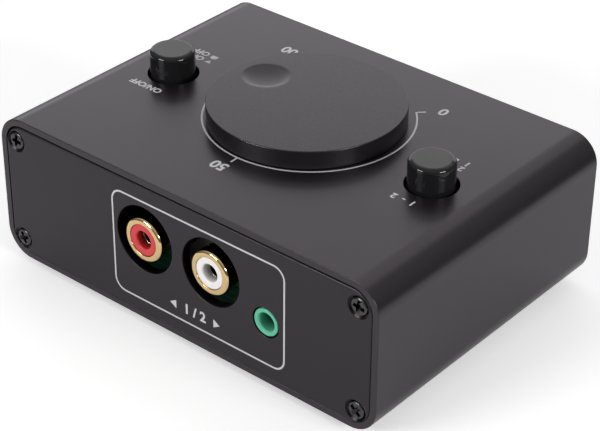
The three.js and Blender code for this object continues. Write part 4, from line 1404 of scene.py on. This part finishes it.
class SELECTOR_OT_stage(bpy.types.Operator):
    """Set up the pale floor, the soft lights, the surroundings and the camera"""

    bl_idname = "selector.stage"
    bl_label = "Studio"

    def execute(self, context):
        studio = context.scene.selector_studio
        self.floor(studio)
        self.surroundings(context.scene, studio)
        soft_light("Back light", 1.6, 0.6, (-0.62, 0.82, 0.355), studio.back)
        soft_light("Top light", 1.1, 0.6, (-0.25, 0.55, 0.85), studio.top)
        soft_light("Right light", 0.30, 0.12, (0.657, -0.046, 0.285), studio.side)
        soft_light("Front light", 0.30, 0.12, (-0.204, -0.625, 0.285), studio.side)
        self.camera(context.scene)
        context.scene.view_settings.view_transform = "Standard"
        return {"FINISHED"}

    def floor(self, studio):
        """A wide plain floor under the feet, which ends nearer in gloss."""
        mesh = bmesh.new()
        reach, sides = 3000, 128
        lid(mesh, add_ring(mesh, circle(reach, 0, sides)))
        material = bpy.data.materials.new("Floor")
        material.use_nodes = True
        tree = material.node_tree
        tree.nodes.clear()
        path = tree.nodes.new("ShaderNodeLightPath")
        gloss = in_gloss(tree, path)
        glow_in_gloss = 0.35
        dimmer = joined(tree, "MULTIPLY", gloss, glow_in_gloss)
        seen = joined(tree, "MAXIMUM", path.outputs["Is Camera Ray"], dimmer)
        surface = tree.nodes.new("ShaderNodeBsdfDiffuse")
        put(tree, (*studio.floor, 1), surface.inputs["Color"])
        glow = shone(tree, "ShaderNodeEmission", joined(tree, "MULTIPLY", seen, studio.glow))
        both = tree.nodes.new("ShaderNodeAddShader")
        put(tree, surface.outputs["BSDF"], both.inputs[0])
        put(tree, glow, both.inputs[1])
        away = tree.nodes.new("ShaderNodeVectorMath")
        away.operation = "LENGTH"
        put(tree, tree.nodes.new("ShaderNodeTexCoord").outputs["Object"], away.inputs[0])
        far = joined(tree, "GREATER_THAN", away.outputs["Value"], studio.ground)
        room = shone(tree, "ShaderNodeEmission", studio.room)
        floor = mixed(tree, joined(tree, "MULTIPLY", gloss, far), both.outputs["Shader"], room)
        output = tree.nodes.new("ShaderNodeOutputMaterial")
        put(tree, floor, output.inputs["Surface"])
        from_millimetres("floor", mesh, material)

    def surroundings(self, scene, studio):
        """Plain surroundings, white to the camera, and a dimmer room in gloss past the ground."""
        world = bpy.data.worlds.new("Surroundings")
        world.use_nodes = True
        tree = world.node_tree
        tree.nodes.clear()
        path = tree.nodes.new("ShaderNodeLightPath")
        sky = shone(tree, "ShaderNodeBackground", studio.sky)
        way = tree.nodes.new("ShaderNodeSeparateXYZ")
        put(tree, tree.nodes.new("ShaderNodeTexCoord").outputs["Generated"], way.inputs[0])
        level = joined(tree, "MULTIPLY_ADD", way.outputs["Z"], studio.rise, studio.room)
        room = shone(tree, "ShaderNodeBackground", level)
        white = shone(tree, "ShaderNodeBackground", 1)
        light = mixed(tree, in_gloss(tree, path), sky, room)
        seen = mixed(tree, path.outputs["Is Camera Ray"], light, white)
        output = tree.nodes.new("ShaderNodeOutputWorld")
        put(tree, seen, output.inputs["Surface"])
        scene.world = world

    def camera(self, scene):
        """The camera at the photograph's viewing angle."""
        azimuth, elevation, roll = (math.radians(a) for a in (39.977, 32.586, 0.518))
        target, distance = Vector((5.416, -5.25, 16.881)), 359.07
        back = Vector((
            math.sin(azimuth) * math.cos(elevation),
            -math.cos(azimuth) * math.cos(elevation),
            math.sin(elevation),
        ))
        level = Vector((math.cos(azimuth), math.sin(azimuth), 0))
        upward = back.cross(level)
        right = level * math.cos(roll) + upward * math.sin(roll)
        up = upward * math.cos(roll) - level * math.sin(roll)
        data = bpy.data.cameras.new("Camera")
        data.sensor_width, data.lens = 36, 116.72
        data.clip_start, data.clip_end = 0.01, 20
        camera = linked("Camera", data)
        place = target * MM + back * distance * MM
        turn = Matrix((right, up, back)).transposed().to_4x4()
        camera.matrix_world = Matrix.Translation(place) @ turn
        scene.camera = camera


# Panel in the sidebar, registration and the run


class SELECTOR_PT_pieces(bpy.types.Panel):
    """Lists the operators and what a user would change"""

    bl_idname = "SELECTOR_PT_pieces"
    bl_label = "Source selector"
    bl_space_type = "VIEW_3D"
    bl_region_type = "UI"
    bl_category = "Selector"

    def draw(self, context):
        layout = self.layout
        for operator in OPERATORS:
            layout.operator(operator.bl_idname)
        scene = context.scene
        for group in (scene.selector_sizes, scene.selector_finishes, scene.selector_studio):
            box = layout.box()
            for name in group.__annotations__:
                box.prop(group, name)


OPERATORS = (
    SELECTOR_OT_sleeve, SELECTOR_OT_panels, SELECTOR_OT_screws, SELECTOR_OT_phono,
    SELECTOR_OT_jacks, SELECTOR_OT_knob, SELECTOR_OT_buttons, SELECTOR_OT_springs,
    SELECTOR_OT_feet, SELECTOR_OT_print, SELECTOR_OT_inside, SELECTOR_OT_stage,
)
GROUPS = {
    "selector_sizes": SelectorSizes,
    "selector_finishes": SelectorFinishes,
    "selector_studio": SelectorStudio,
}


def register():
    for name, group in GROUPS.items():
        bpy.utils.register_class(group)
        setattr(bpy.types.Scene, name, bpy.props.PointerProperty(type=group))
    for operator in OPERATORS:
        bpy.utils.register_class(operator)
    bpy.utils.register_class(SELECTOR_PT_pieces)


def unregister():
    bpy.utils.unregister_class(SELECTOR_PT_pieces)
    for operator in reversed(OPERATORS):
        bpy.utils.unregister_class(operator)
    for name, group in reversed(GROUPS.items()):
        delattr(bpy.types.Scene, name)
        bpy.utils.unregister_class(group)


def main():
    register()
    bpy.ops.selector.sleeve()
    bpy.ops.selector.panels()
    bpy.ops.selector.screws()
    bpy.ops.selector.phono()
    bpy.ops.selector.jacks()
    bpy.ops.selector.knob()
    bpy.ops.selector.buttons()
    bpy.ops.selector.springs()
    bpy.ops.selector.feet()
    bpy.ops.selector.print()
    bpy.ops.selector.inside()
    bpy.ops.selector.stage()


if __name__ == "__main__":
    main()
